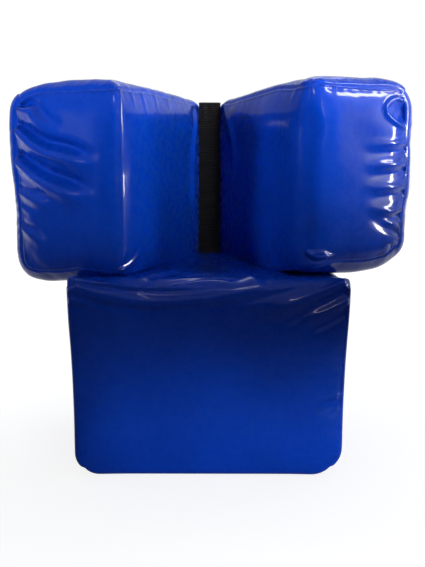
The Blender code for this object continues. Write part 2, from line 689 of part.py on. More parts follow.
def add_arm(prefix, side, splay, lift, materials):
    """One arm on its hinge axis: side is 1 for the right arm and -1 for the left."""
    hinge = add_empty(
        prefix + "_hinge_axis",
        Matrix.Translation((side * HINGE_HALF_WIDTH, HINGE_DEPTH, 0)) @ Matrix.Rotation(side * splay, 4, "Z"))
    wrap = frozenset((INNER, FRONT))
    band = frozenset((OUTER, UNDERSIDE, TOP))
    rear = frozenset((REAR,))
    crowns = {
        INNER: ARM_INNER_CROWN, OUTER: ARM_OUTER_CROWN, REAR: ARM_REAR_CROWN, FRONT: ARM_END_CROWN,
        UNDERSIDE: ARM_UNDERSIDE_CROWN, TOP: ARM_TOP_CROWN}
    edges = (
        (OUTER, UNDERSIDE, ARM_OUTER_EDGE_RADIUS), (OUTER, TOP, ARM_OUTER_EDGE_RADIUS),
        (INNER, FRONT, ARM_RIDGE_RADIUS))
    block = Block((ARM_THICKNESS, ARM_LENGTH, ARM_HEIGHT), crowns, band, (wrap, rear), edges)

    def rise(y):
        """How far the arm has climbed at a distance in front of its hinge."""
        return lift * max(-y, 0) / ARM_LENGTH

    block.place(lambda point: Vector((side * point.x, -point.y, point.z + ARM_BOTTOM_SEAM + rise(-point.y))))

    cover = materials["cover"]
    add_object(prefix + "_wrap_cover", block.panel({INNER, FRONT}), cover, parent=hinge, smooth=True)
    band_cover = add_object(
        prefix + "_band_cover", block.panel({OUTER, UNDERSIDE, TOP}), cover, parent=hinge, smooth=True)
    add_object(prefix + "_rear_cover", block.panel({REAR}), cover, parent=hinge, smooth=True)
    glue_line = Vector((0, STRIKE_FOAM_DEPTH - ARM_LENGTH, 0))
    add_object(
        prefix + "_foam_core", block.filling(False, glue_line), materials["foam"], parent=hinge, smooth=True)
    add_object(
        prefix + "_end_foam", block.filling(True, glue_line), materials["strike"], parent=hinge, smooth=True)
    add_hinge_tape(prefix + "_hinge_tape", block, materials, hinge)

    out = Vector((side, 0, 0))
    face_x = side * (ARM_THICKNESS + ARM_OUTER_CROWN)
    middle = -ARM_LENGTH / 2
    zip_frame = face_frame((face_x, middle, ARM_BOTTOM_SEAM + ARM_ZIP_RISE + rise(middle)), out)
    add_zip(prefix, band_cover, zip_frame, ARM_ZIP_LENGTH, materials, hinge)
    handle_frame = face_frame((face_x, middle, ARM_TOP_SEAM - ARM_HANDLE_DROP + rise(middle)), out)
    add_handle(prefix, handle_frame, materials, hinge)
    for name, place in (("_vent_rear", -ARM_VENT_SETBACK), ("_vent_front", ARM_VENT_SETBACK - ARM_LENGTH)):
        vent_frame = face_frame((face_x, place, ARM_TOP_SEAM - ARM_VENT_DROP + rise(place)), out)
        add_vent(prefix + name, band_cover, vent_frame, materials, hinge)


def main():
    """Build the bag."""
    clear_scene()
    materials = make_materials()
    add_base(materials)
    add_hinge_spine(materials)
    add_arm("left_arm", -1, LEFT_SPLAY, LEFT_LIFT, materials)
    add_arm("right_arm", 1, RIGHT_SPLAY, RIGHT_LIFT, materials)


main()
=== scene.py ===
"""A rugby jackal bag in glossy coated fabric: a padded base and two padded arms on a webbing hinge.

Metres, +Z up, the front faces -Y. Each padded block is one closed skin over a box lattice. Its shape is a
function of two parameters on each side of the box. Folds, dents, gathers and waves are in millimetres.
"""
import math

import bpy
import numpy as np
from mathutils import Matrix, Vector


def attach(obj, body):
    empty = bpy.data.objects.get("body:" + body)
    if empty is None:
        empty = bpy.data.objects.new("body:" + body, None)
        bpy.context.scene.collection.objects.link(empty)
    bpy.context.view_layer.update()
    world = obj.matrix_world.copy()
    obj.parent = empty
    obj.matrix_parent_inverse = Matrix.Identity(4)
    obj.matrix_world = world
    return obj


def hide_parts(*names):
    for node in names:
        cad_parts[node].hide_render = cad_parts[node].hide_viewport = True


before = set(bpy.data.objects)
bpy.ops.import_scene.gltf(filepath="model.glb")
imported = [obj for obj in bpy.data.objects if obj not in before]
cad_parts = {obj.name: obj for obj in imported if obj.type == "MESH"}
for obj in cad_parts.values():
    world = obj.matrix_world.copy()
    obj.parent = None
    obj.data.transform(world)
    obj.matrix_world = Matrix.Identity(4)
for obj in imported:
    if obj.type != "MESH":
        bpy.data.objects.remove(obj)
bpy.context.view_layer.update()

# The six sides of a block: low and high along X, Y and Z. Y runs from the hinge side forwards.
INNER, OUTER, REAR, FRONT, UNDERSIDE, TOP = range(6)
OUTWARD = np.array([(-1, 0, 0), (1, 0, 0), (0, -1, 0), (0, 1, 0), (0, 0, -1), (0, 0, 1)], float)
# The two axes over each side, called a and b, and the side's four edges
ACROSS = ((1, 2), (1, 2), (0, 2), (0, 2), (0, 1), (0, 1))
LOW_A, HIGH_A, LOW_B, HIGH_B = range(4)

# Sizes shared with the solids
BASE_SIZE = (0.576, 0.4395, 0.421)
BASE_HALF = BASE_SIZE[0] / 2
BASE_TOP_SPREAD = 0.016
BASE_FLOOR_CROWN = 0.004
ARM_SIZE = (0.256, 0.445, 0.3855)
ARM_BOTTOM_SEAM = 0.4523
HINGE_HALF_WIDTH = 0.0287
HINGE_DEPTH = 0.2308
SPLAY = {-1: math.radians(21.6), 1: math.radians(24.2)}
LIFT = {-1: 0.0, 1: 0.012}

# Places of what is sewn on, from the floor
ARM_HANDLE_HEIGHT, ARM_ZIP_HEIGHT, ARM_ZIP_LENGTH = 0.6878, 0.5103, 0.290
BASE_HANDLE_HEIGHT, BASE_ZIP_HEIGHT, BASE_ZIP_LENGTH = 0.222, 0.112, 0.420
ANCHOR_HEIGHT = 0.310
# Half sizes of the sewn patches, their corner radius, and how far inside the rim their stitches run
HANDLE_PATCH, ANCHOR_PATCH = (0.139, 0.028), (0.048, 0.044)
PATCH_CORNER, PATCH_INSET = 0.008, 0.004
# A strap's half length, width, foot length and height, where its foot is sewn, and half the sewn box
STRAP_HALF, STRAP_WIDTH, STRAP_FOOT, STRAP_RISE = 0.130, 0.038, 0.046, 0.030
FOOT_MIDDLE, FOOT_BOX = 0.107, (0.018, 0.014)
# An arm's vents, in from its ends and down from its top, and the base's, out from its middle and up
VENT_IN, VENT_DOWN = 0.085, 0.070
BASE_VENT_OUT, BASE_VENT_HEIGHT = 0.195, 0.330
STITCH_PITCH, STITCH_LENGTH, STITCH_RADIUS, STITCH_FROM_SEAM = 0.0048, 0.0034, 0.00045, 0.0062
COIL_PITCH, COIL_WIRE, COIL_POINTS = 0.0024, 0.00052, 42

# Lattice: places close beside a seam, then an even step; the coarse one is for settling
BESIDE_SEAM, FINE_STEP = (0.0, 0.0012, 0.0028, 0.005, 0.0078, 0.0115, 0.016), 0.0052
COARSE_BESIDE, COARSE_STEP = (0.0, 0.006), 0.0095
SEAM_GROOVE = 0.0014
SEAM_LIP = 0.0006
SETTLE_MOST = 0.008

# Lattice and shape


def stations(length, beside, step):
    """Places along one edge of a box: the given ones in from both ends, and even ones between."""
    near = np.array(beside)
    count = max(2, round((length - 2 * near[-1]) / step))
    between = np.linspace(near[-1], length - near[-1], count + 1)[1:-1]
    return np.concatenate([near, between, length - near[::-1]])


def smooth_step(value):
    """0 below 0, 1 above 1, and 3t^2 - 2t^3 between."""
    t = np.clip(value, 0, 1)
    return t * t * (3 - 2 * t)


def rise(value, start, width):
    """A smooth step up from 0 at a start to 1 a width further on."""
    return smooth_step((value - start) / width)


def fall(value, end, width):
    """A smooth step down from 1 to 0 at an end, over a width."""
    return smooth_step((end - value) / width)


def bell(value, centre, width):
    """exp(-((x - centre) / width)^2)."""
    return np.exp(-(((value - centre) / width) ** 2))


def roll_in(distance, width, fullness):
    """Share of a crown at a distance from a seam: (1 - (1 - d/w)^2) to the power of the fullness."""
    share = np.clip(distance / width, 0, 1)
    return (1 - (1 - share) ** 2) ** fullness


def unit(vectors):
    """Vectors of length one along the given ones."""
    return vectors / np.linalg.norm(vectors, axis=-1)[..., None]


def turned_out(points, faces):
    """The faces, turned outwards by the sign of the volume in them."""
    a, b, c = (points[faces[:, k]] for k in range(3))
    return faces[:, ::-1] if np.einsum("ij,ij->", a, np.cross(b - a, c - a)) < 0 else faces


class Lattice:
    """The surface of a box cut by three sets of planes, with one grid of point numbers per side."""

    def __init__(self, places):
        self.places = places
        self.size = np.array([p[-1] for p in places])
        counts = [len(p) for p in places]
        last = np.array(counts) - 1
        steps = np.indices(counts).reshape(3, -1).T
        steps = steps[((steps == 0) | (steps == last)).any(1)]
        number = np.full(counts, -1)
        number[tuple(steps.T)] = np.arange(len(steps))
        self.points = np.stack([places[axis][steps[:, axis]] for axis in range(3)], 1)
        self.on = np.stack([steps == 0, steps == last], -1).reshape(-1, 6)
        self.grids = [np.take(number, last[side // 2] * (side % 2), axis=side // 2) for side in range(6)]
        quads = [np.stack([grid[:-1, :-1], grid[1:, :-1], grid[1:, 1:], grid[:-1, 1:]], -1).reshape(-1, 4)
                 for grid in self.grids]
        for side in (INNER, FRONT, UNDERSIDE):
            quads[side] = quads[side][:, ::-1]
        self.faces = np.concatenate(quads)
        self.face_sides = np.repeat(np.arange(6), [len(quad) for quad in quads])

    def distance(self, side):
        """How far each point of the plain box lies from a side."""
        along = self.points[:, side // 2]
        return self.size[side // 2] - along if side % 2 else along

    def across(self, side):
        """The two coordinates that run over a side, as full grids."""
        return np.meshgrid(*[self.places[axis] for axis in ACROSS[side]], indexing="ij")


class Block:
    """One padded block: crowned panels between drawn-in seams, with soft edges inside a panel.

    A point of the box is wrapped round the soft edges, then pushed out along its direction by the crown of
    its side times the roll-in from every seam, plus the relief of its side, and pulled in on the seams.
    Without a relief it is the coarse and plain skin for settling.
    """

    def __init__(self, size, groups, soft, crowns, rolls, relief=None):
        beside, step = (BESIDE_SEAM, FINE_STEP) if relief else (COARSE_BESIDE, COARSE_STEP)
        groove, lip = (SEAM_GROOVE, SEAM_LIP) if relief else (0.0, 0.0)
        self.lattice = lat = Lattice([stations(length, beside, step) for length in size])
        moved = lat.points.copy()
        direction = np.zeros_like(moved)
        for side_a, side_b, radius in soft:
            radius = radius(lat.points) if callable(radius) else radius
            reach_a = (radius - lat.distance(side_a))[:, None]
            reach_b = (radius - lat.distance(side_b))[:, None]
            inside = np.flatnonzero((reach_a > 0) & (reach_b > 0))
            reach_a, reach_b = reach_a[inside], reach_b[inside]
            reach = np.hypot(reach_a, reach_b)
            turned = OUTWARD[side_a] * reach_a + OUTWARD[side_b] * reach_b
            moved[inside] -= turned * (1 - np.maximum(reach_a, reach_b) / reach)
            rim = lat.on[inside][:, [side_a, side_b]].any(1)
            direction[inside[rim]] = (turned / reach)[rim]
        member = np.stack([lat.on[:, group].any(1) for group in groups], 1)
        self.seam = seam = member.sum(1) > 1
        height = np.zeros(len(moved))
        wander = np.prod(np.sin(lat.points * (231.0, 197.0, 213.0) + (0.4, 1.9, 2.7)), axis=1)
        for number, group in enumerate(groups):
            own = member[:, number] & ~seam
            others = [side for side in range(6) if side not in group]
            plain = lat.on[:, group].astype(float) @ OUTWARD[group]
            alone = own & (np.abs(direction).sum(1) == 0)
            direction[alone] = plain[alone]
            wrong = own & ((direction * plain).sum(1) <= 0.01)
            direction[wrong] = plain[wrong]
            flat = own & (lat.on[:, group].sum(1) == 1) & ((direction @ OUTWARD[others].T).max(1) > 0.01)
            direction[flat] = plain[flat]
            crown = sum(crowns[side] * np.clip(direction @ OUTWARD[side], 0, 1) ** 2 for side in group)
            for side in others:
                crown = crown * roll_in(lat.distance(side), *rolls[number])
            welt = sum(bell(lat.distance(side), 0.0034, 0.0018) for side in others)
            height[own] = (crown + lip * welt * (1 + 0.7 * wander))[own]
        for side in sorted(relief or {}):
            grid = lat.grids[side]
            group = next(group for group in groups if side in group)
            shape = relief[side](*lat.across(side)) * (1 / lat.on[:, group].sum(1)[grid]) * ~seam[grid]
            np.add.at(height, grid.ravel(), shape.ravel())
        direction[seam] = (lat.on.astype(float) @ OUTWARD)[seam]
        height[seam] = -groove
        self.points = moved + unit(direction) * height[:, None]

    def finish(self, body, shift, place):
        """Name the body, add a shift, put the block into the frame, and take the faces and normals there."""
        self.body = body
        self.points = place(self.points + shift)
        self.faces = turned_out(self.points, self.lattice.faces)
        corners = self.points[self.faces]
        flat = np.cross(corners[:, 2] - corners[:, 0], corners[:, 3] - corners[:, 1])
        normals = np.zeros_like(self.points)
        np.add.at(normals, self.faces.T, flat)
        self.normals = unit(normals)

    def at(self, side, a, b, off):
        """Points over a side at its two coordinates, standing off it, and normals: bilinear on the grid."""
        grid = self.lattice.grids[side]
        u, v = (np.interp(x, self.lattice.places[axis], np.arange(n))
                for x, axis, n in zip((a, b), ACROSS[side], grid.shape))
        i, j = (np.clip(x.astype(int), 0, n - 2) for x, n in zip((u, v), grid.shape))
        s, t = (u - i)[..., None], (v - j)[..., None]
        place = normal = 0
        for di, dj in ((0, 0), (1, 0), (0, 1), (1, 1)):
            weight = (s if di else 1 - s) * (t if dj else 1 - t)
            corner = grid[i + di, j + dj]
            place = place + weight * self.points[corner]
            normal = normal + weight * self.normals[corner]
        normal = unit(normal)
        return place + normal * np.broadcast_to(off, u.shape)[..., None], normal


# Settling the fabric

CLOTH = {
    "quality": 8, "mass": 0.25, "tension_stiffness": 18, "compression_stiffness": 18, "shear_stiffness": 6,
    "bending_stiffness": 0.4, "use_pressure": True, "uniform_pressure_force": 4, "vertex_group_mass": "held",
    "pin_stiffness": 1.0, "vertex_group_shrink": "cut", "shrink_min": -0.025, "shrink_max": 0.0}
SETTLE_FRAMES = 20


def cubic_weights(known, wanted):
    """Weights that carry values from known places to wanted ones: cubics with the neighbours' slopes."""
    last = len(known) - 1
    i = np.clip(np.searchsorted(known, wanted, side="right") - 1, 0, last - 1)
    step = known[i + 1] - known[i]
    t = (wanted - known[i]) / step
    rows = np.arange(len(wanted))
    weights = np.zeros((len(wanted), len(known)))
    weights[rows, i] = 2 * t ** 3 - 3 * t ** 2 + 1
    weights[rows, i + 1] = 3 * t ** 2 - 2 * t ** 3
    for slope, k in (((t ** 3 - 2 * t ** 2 + t) * step, i), ((t ** 3 - t ** 2) * step, i + 1)):
        before, after = np.maximum(k - 1, 0), np.minimum(k + 1, last)
        slope = slope / (known[after] - known[before])
        weights[rows, after] += slope
        weights[rows, before] -= slope
    return weights


def settle(coarse_blocks):
    """Blow up coarse skins as cloth cut a little larger than its seams, and measure the movement.

    All the skins run together for twenty frames. The seams are held by soft springs, and their points keep
    their cut length while the panels grow by the slack, so gathers form along the seams.
    """
    scene = bpy.context.scene
    pads = []
    for number, block in enumerate(coarse_blocks):
        mesh = bpy.data.meshes.new("settling")
        mesh.from_pydata(block.points.tolist(), [], turned_out(block.points, block.lattice.faces).tolist())
        pad = bpy.data.objects.new("settling_" + str(number), mesh)
        scene.collection.objects.link(pad)
        held = pad.vertex_groups.new(name="held")
        cut = pad.vertex_groups.new(name="cut")
        seam = np.flatnonzero(block.seam).tolist()
        held.add(seam, 0.7, "REPLACE")
        held.add(np.flatnonzero(block.lattice.on.sum(1) > 2).tolist(), 1.0, "REPLACE")
        cut.add(seam, 1.0, "REPLACE")
        modifier = pad.modifiers.new("settle", "CLOTH")
        for key, value in CLOTH.items():
            setattr(modifier.settings, key, value)
        modifier.settings.effector_weights.gravity = 0
        modifier.collision_settings.use_collision = False
        modifier.collision_settings.use_self_collision = False
        modifier.point_cache.frame_start = 1
        modifier.point_cache.frame_end = SETTLE_FRAMES
        pads.append(pad)
    for step in range(SETTLE_FRAMES):
        scene.frame_set(step + 1)
    graph = bpy.context.evaluated_depsgraph_get()
    moves = []
    for pad, block in zip(pads, coarse_blocks):
        flat = np.empty(len(block.points) * 3, np.float32)
        pad.evaluated_get(graph).to_mesh().vertices.foreach_get("co", flat)
        moves.append(flat.reshape(-1, 3).astype(float) - block.points)
    scene.frame_set(1)
    for pad in pads:
        mesh = pad.data
        bpy.data.objects.remove(pad)
        bpy.data.meshes.remove(mesh)
    return moves


def evened(lattice, values, held, passes):
    """Values on a skin, moved again and again halfway to their neighbours' mean, but where held.

    A neighbour's weight is one over its distance on the plain box, so an even slope stays as it is.
    """
    start = np.concatenate([lattice.faces.ravel(), np.roll(lattice.faces, -1, axis=1).ravel()])
    end = np.roll(start, len(start) // 2)
    weight = 1 / np.linalg.norm(lattice.points[start] - lattice.points[end], axis=1)
    total = np.bincount(start, weight, len(values))[:, None]
    for _ in range(passes):
        around = [np.bincount(start, weight * values[end, k], len(values)) for k in range(3)]
        values = np.where(held[:, None], values, 0.5 * (values + np.stack(around, 1) / total))
    return values


def carry_move(coarse, move, fine, masks):
    """A coarse skin's movement on the fine one, each side by cubic weights both ways, eased to a most."""
    move = evened(coarse.lattice, move, coarse.seam, 2)
    length = np.linalg.norm(move, axis=1)
    eased = move * (SETTLE_MOST * np.tanh(length / SETTLE_MOST) / np.maximum(length, 1e-9))[:, None]
    total = np.zeros_like(fine.points)
    count = np.zeros(len(fine.points))
    for side in range(6):
        over, along = (
            cubic_weights(coarse.lattice.places[axis], fine.lattice.places[axis]) for axis in ACROSS[side])
        values = eased[coarse.lattice.grids[side]]
        carried = np.einsum("ai,ijk,bj->abk", over, values, along, optimize=True)
        if side in masks:
            carried = carried * masks[side](*fine.lattice.across(side))[..., None]
        grid = fine.lattice.grids[side]
        np.add.at(total, grid.ravel(), carried.reshape(-1, 3))
        np.add.at(count, grid.ravel(), 1)
    return evened(fine.lattice, total / count[:, None], fine.seam, 30)


# Folds and puckers: each is a function of a side's two coordinates


def smooth_line(line):
    """Even points on a Catmull-Rom curve through the given ones, pairs of millimetres in one row."""
    p = np.reshape(line, (-1, 2)) / 1000
    p = np.concatenate([[2 * p[0] - p[1]], p, [2 * p[-1] - p[-2]]])
    t = np.linspace(0, len(p) - 3, 36)
    i = np.minimum(t.astype(int), len(p) - 4)
    f = (t - i)[:, None]
    p0, p1, p2, p3 = p[i], p[i + 1], p[i + 2], p[i + 3]
    square, cube = 2 * p0 - 5 * p1 + 4 * p2 - p3, 3 * p1 - p0 - 3 * p2 + p3
    return 0.5 * (2 * p1 + (p2 - p0) * f + square * f ** 2 + cube * f ** 3)


def beside_line(a, b, points):
    """Each point's distance from a smooth line, positive to its left, and its share of the way along."""
    line = smooth_line(points)
    start = line[:-1]
    run = line[1:] - start
    length = np.linalg.norm(run, axis=1)
    total = np.concatenate([[0], np.cumsum(length)])
    rel_a = a[..., None] - start[:, 0]
    rel_b = b[..., None] - start[:, 1]
    share = np.clip((rel_a * run[:, 0] + rel_b * run[:, 1]) / length ** 2, 0, 1)
    apart = np.hypot(rel_a - share * run[:, 0], rel_b - share * run[:, 1])
    turn = run[:, 0] * rel_b - run[:, 1] * rel_a
    best = apart.argmin(-1)
    near, turn, share = (np.take_along_axis(x, best[..., None], -1)[..., 0] for x in (apart, turn, share))
    return near * np.where(turn < 0, -1, 1), (total[best] + share * length[best]) / total[-1]


def ends_fade(along, start, end):
    """Rise over the first share of a line and fall over its last."""
    return smooth_step(along / start) * smooth_step((1 - along) / end)


def ridge(line, width, height, start, end):
    """A rounded ridge on a line: height times exp(-(d/w)^2), faded at the ends."""
    def field(a, b):
        apart, along = beside_line(a, b, line)
        return height / 1000 * bell(apart, 0, width / 1000) * ends_fade(along, start, end)
    return field


def fold(line, width, height, start, end, spread=1.0, bite=0.9):
    """A drag fold on a line: a rounded ridge on its left and a tighter valley on its right, side by side."""
    def field(a, b):
        apart, along = beside_line(a, b, line)
        s = apart / (width / 1000 * (1 + spread * along))
        profile = bell(s, 0.85, 0.75) - bite * bell(s, -0.35, 0.5)
        return height / 1000 * profile * ends_fade(along, start, end)
    return field


def dent(centre, reach, depth, power=2.0):
    """A rounded dent: minus the depth times exp(-(r^power)), r the distance in its own half axes."""
    def field(a, b):
        r = np.hypot((a - centre[0] / 1000) / (reach[0] / 1000), (b - centre[1] / 1000) / (reach[1] / 1000))
        return -depth / 1000 * np.exp(-(r ** power))
    return field


def from_edge(size, edge, a, b):
    """The distance from one edge of a side of this size, and the place along the edge."""
    apart, place = (b, a) if edge in (LOW_B, HIGH_B) else (a, b)
    return (size[edge // 2] - apart if edge % 2 else apart), place


def puckers(size, edge, seed, height=1.1, pitch=21, reach=24, width=4.2):
    """Gathers beside a seam: a row of short ridges and valleys that start at the seam and fade from it."""
    length = size[1 - edge // 2]
    rng = np.random.RandomState(seed)
    count = max(2, int(length / (pitch / 1000)))
    middle = (np.arange(count) + 0.5 + rng.uniform(-0.42, 0.42, count)) * length / count
    tall = height / 1000 * rng.uniform(0.25, 1.3, count) * rng.choice([1, -1, -1], count)
    wide = width / 1000 * rng.uniform(0.6, 1.6, count)
    long = reach / 1000 * rng.uniform(0.35, 1.6, count)
    slant = rng.normal(0, 0.25, count)

    def field(a, b):
        apart, place = from_edge(size, edge, a, b)
        total = np.zeros_like(a)
        for k in range(count):
            offset = (place - middle[k] - slant[k] * apart) / (wide[k] * (1 + apart / long[k]))
            total += tall[k] * np.exp(-offset ** 2) * np.exp(-((apart / long[k]) ** 1.5))
        return total * smooth_step(apart / 0.004)
    return field


def waves(seed, height, longest):
    """Slow unevenness: a sum of plane waves in random directions, each as high as it is long."""
    count = 14
    rng = np.random.RandomState(seed)
    turn = rng.uniform(0, 2 * np.pi, count)
    phase = rng.uniform(0, 2 * np.pi, count)
    share = rng.uniform(0.35, 1.0, count)

    def field(a, b):
        total = np.zeros_like(a)
        for k in range(count):
            run = (a * np.cos(turn[k]) + b * np.sin(turn[k])) * 2 * np.pi / (longest / 1000 * share[k])
            total += np.sin(run + phase[k]) * share[k]
        return total * (height / 1000) / math.sqrt(count)
    return field


def added(*fields):
    """The sum of several fields."""
    return lambda a, b: sum(field(a, b) for field in fields)


def flipped_to(total, field):
    """A field of one side read from the next one, its second coordinate run on over a soft edge."""
    return lambda a, b: field(a, total - b)


def moved_by(step, field):
    """A field read at a first coordinate moved along a side, so that it runs on round a soft edge."""
    return lambda a, b: field(a + step, b)


def times(mask, *fields):
    """The sum of some fields seen through a mask."""
    return lambda a, b: mask(a, b) * added(*fields)(a, b)


def away_from(size, width, edges=(LOW_A, HIGH_A, LOW_B, HIGH_B)):
    """A mask that falls to nothing at some edges of a side of this size."""
    def field(a, b):
        return np.prod([smooth_step(from_edge(size, edge, a, b)[0] / width) for edge in edges], axis=0)
    return field


def clear_of(*patches):
    """A mask that is 0 on some rectangles, each centre a, centre b, half a, half b, and 1 away from them."""
    def field(a, b):
        mask = np.ones_like(a)
        for centre_a, centre_b, half_a, half_b in patches:
            out_a = np.maximum(np.abs(a - centre_a) - half_a, 0)
            out_b = np.maximum(np.abs(b - centre_b) - half_b, 0)
            mask = mask * smooth_step(np.hypot(out_a, out_b) / 0.022)
        return mask
    return field


# Meshes


def make_piece(name, points, faces, look, body, uv=None, stands_for=()):
    """A mesh piece at the origin that rides on a body, with a look's material."""
    mesh = bpy.data.meshes.new(name)
    mesh.from_pydata(points.tolist(), [], faces.tolist())
    mesh.shade_smooth()
    if uv is not None:
        layer = mesh.uv_layers.new(name="panel")
        layer.data.foreach_set("uv", uv.astype(np.float32).ravel())
    material, slot = LOOKS[look]
    mesh.materials.append(material)
    piece = bpy.data.objects.new(name, mesh)
    bpy.context.scene.collection.objects.link(piece)
    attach(piece, body)
    if stands_for:
        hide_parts(*stands_for)
    return piece


def grid_faces(rows, columns, wrap=False):
    """Quads of a grid of points in row order, closed on itself along the columns if it wraps."""
    last = columns if wrap else columns - 1
    i, j = np.meshgrid(np.arange(rows - 1) * columns, np.arange(last), indexing="ij")
    k = (j + 1) % columns
    return np.stack([i + j, i + k, i + columns + k, i + columns + j], -1).reshape(-1, 4)


def repeated(pattern, count, points_each):
    """A pattern of faces, once for each of several equal parts."""
    return (pattern[None] + np.arange(count)[:, None, None] * points_each).reshape(-1, 4)


def slab(top, bottom):
    """A closed slab between two grids of points: both grids' faces and a wall round their rim."""
    rows, columns = top.shape[:2]
    count = rows * columns
    faces = grid_faces(rows, columns)
    number = np.arange(count).reshape(rows, columns)
    rim = np.concatenate([number[0, :], number[1:, -1], number[-1, -2::-1], number[-2:0:-1, 0]])
    after = np.roll(rim, -1)
    wall = np.stack([rim, rim + count, after + count, after], 1)
    points = np.concatenate([top.reshape(-1, 3), bottom.reshape(-1, 3)])
    return points, turned_out(points, np.concatenate([faces[:, ::-1], faces + count, wall[:, ::-1]]))


# Materials


def feed(made, inputs):
    """Set a node's inputs, by name or number, to values or join them to outputs."""
    for key, value in inputs.items():
        if isinstance(value, bpy.types.NodeSocket):
            made.id_data.links.new(value, made.inputs[key])
        else:
            made.inputs[key].default_value = value


def node(tree, kind, inputs=None, **settings):
    """A node with its settings, its inputs set to values or joined to outputs."""
    made = tree.nodes.new(kind)
    for key, value in settings.items():
        setattr(made, key, value)
    feed(made, inputs or {})
    return made


def maths(tree, operation, first, second=0.0):
    """One arithmetic step."""
    return node(tree, "ShaderNodeMath", {0: first, 1: second}, operation=operation).outputs[0]


def product(tree, first, *others):
    """Several values multiplied, from the left."""
    for other in others:
        first = maths(tree, "MULTIPLY", first, other)
    return first


def ramp(tree, value, low, high, to_low=0.0, to_high=1.0):
    """A value moved from one range to another and kept inside it."""
    inputs = dict(enumerate((value, low, high, to_low, to_high)))
    return node(tree, "ShaderNodeMapRange", inputs, clamp=True).outputs[0]


def noise(tree, where, scale, detail, roughness):
    """Noise on the object's own coordinates."""
    inputs = {"Vector": where.outputs["Object"], "Scale": scale, "Detail": detail, "Roughness": roughness}
    return node(tree, "ShaderNodeTexNoise", inputs).outputs[0]


def bump(tree, strength, distance, height, normal=None):
    """A bump by a height, over another one if it is given."""
    made = node(tree, "ShaderNodeBump", {"Strength": strength, "Distance": distance, "Height": height})
    feed(made, {"Normal": normal} if normal else {})
    return made.outputs[0]


def ridges(tree, coordinate, turns):
    """A sine wave along a coordinate."""
    return maths(tree, "SINE", product(tree, coordinate, turns))


def mix_colours(tree, factor, dark, light):
    """A colour between two by a factor."""
    inputs = {"Factor": factor, 6: (*dark, 1), 7: (*light, 1)}
    return node(tree, "ShaderNodeMix", inputs, data_type="RGBA").outputs[2]


def principled(name):
    """A new material, its tree and its Principled shader."""
    material = bpy.data.materials.new(name)
    material.use_nodes = True
    tree = material.node_tree
    return material, tree, tree.nodes["Principled BSDF"]


def parted(tree, vector):
    """The three coordinates of a place."""
    return node(tree, "ShaderNodeSeparateXYZ", {0: vector}).outputs


def make_fabric_group():
    """Coated scrim fabric: a fine woven grid under the coat, mottled colour and uneven polish.

    Height is two crossed sine waves along the panel's own coordinates, with slow noise under them.
    """
    group = bpy.data.node_groups.new("coated_scrim", "ShaderNodeTree")
    group.interface.new_socket("Pitch", in_out="INPUT", socket_type="NodeSocketFloat")
    for label in ("Shade", "Polish", "Height", "Slow"):
        group.interface.new_socket(label, in_out="OUTPUT", socket_type="NodeSocketFloat")
    given = node(group, "NodeGroupInput")
    where = node(group, "ShaderNodeTexCoord")
    across, upward, _ = parted(group, where.outputs["UV"])
    turns = maths(group, "DIVIDE", 2 * math.pi, given.outputs["Pitch"])
    broad = noise(group, where, 7.0, 4.0, 0.55)
    small = noise(group, where, 60.0, 5.0, 0.6)
    scuff = noise(group, where, 22.0, 8.0, 0.75)
    worn = ramp(group, scuff, 0.55, 0.75, 0.0, 0.5)
    node(group, "NodeGroupOutput", {
        "Shade": ramp(group, broad, 0.3, 0.7),
        "Polish": maths(group, "ADD", ramp(group, small, 0.35, 0.7, 0.0, 0.5), worn),
        "Height": maths(group, "ADD", ridges(group, across, turns), ridges(group, upward, turns)),
        "Slow": maths(group, "ADD", small, product(group, broad, 2.0))})
    return group


def coated_fabric():
    """Royal blue coated fabric with a wet gloss."""
    material, tree, shader = principled("coated_fabric_blue")
    marks = node(tree, "ShaderNodeGroup", {"Pitch": 0.0016}, node_tree=make_fabric_group())
    weave = bump(tree, 0.03, 0.0002, marks.outputs["Height"])
    dark, light = (0.0010, 0.0330, 0.360), (0.0012, 0.0420, 0.440)
    feed(shader, {
        "Base Color": mix_colours(tree, marks.outputs["Shade"], dark, light),
        "Roughness": ramp(tree, marks.outputs["Polish"], 0.0, 1.0, 0.24, 0.40),
        "Normal": bump(tree, 0.016, 0.0030, marks.outputs["Slow"], weave),
        "Specular IOR Level": 0.08, "Coat Weight": 0.55, "Coat Roughness": 0.045, "Coat IOR": 1.38})
    return material


def webbing(name, dark, light, pitch):
    """Black polypropylene webbing: cross ribs, fine warp lines and worn, dusty crests."""
    material, tree, shader = principled(name)
    where = node(tree, "ShaderNodeTexCoord")
    across, along, _ = parted(tree, where.outputs["UV"])
    warp = product(tree, ridges(tree, across, 2 * math.pi / (pitch * 0.45)), 0.35)
    cloth = maths(tree, "ADD", ridges(tree, along, 2 * math.pi / pitch), warp)
    dust = noise(tree, where, 45.0, 6.0, 0.7)
    crest = product(tree, ramp(tree, cloth, 0.0, 1.2), ramp(tree, dust, 0.4, 0.7, 0.35, 1.0))
    feed(shader, {
        "Base Color": mix_colours(tree, crest, dark, light),
        "Roughness": ramp(tree, dust, 0.3, 0.7, 0.62, 0.85),
        "Normal": bump(tree, 0.8, 0.0009, cloth), "Sheen Weight": 0.05, "Specular IOR Level": 0.25})
    return material


def plain_finish(name, dark, light, rough_low, rough_high, scale, metallic=0.0):
    """A finish with a little noise in its colour, polish and surface."""
    material, tree, shader = principled(name)
    grain = noise(tree, node(tree, "ShaderNodeTexCoord"), scale, 6.0, 0.65)
    feed(shader, {
        "Base Color": mix_colours(tree, ramp(tree, grain, 0.35, 0.65), dark, light),
        "Roughness": ramp(tree, grain, 0.3, 0.7, rough_low, rough_high),
        "Normal": bump(tree, 0.4, 0.0002, grain), "Metallic": metallic})
    return material


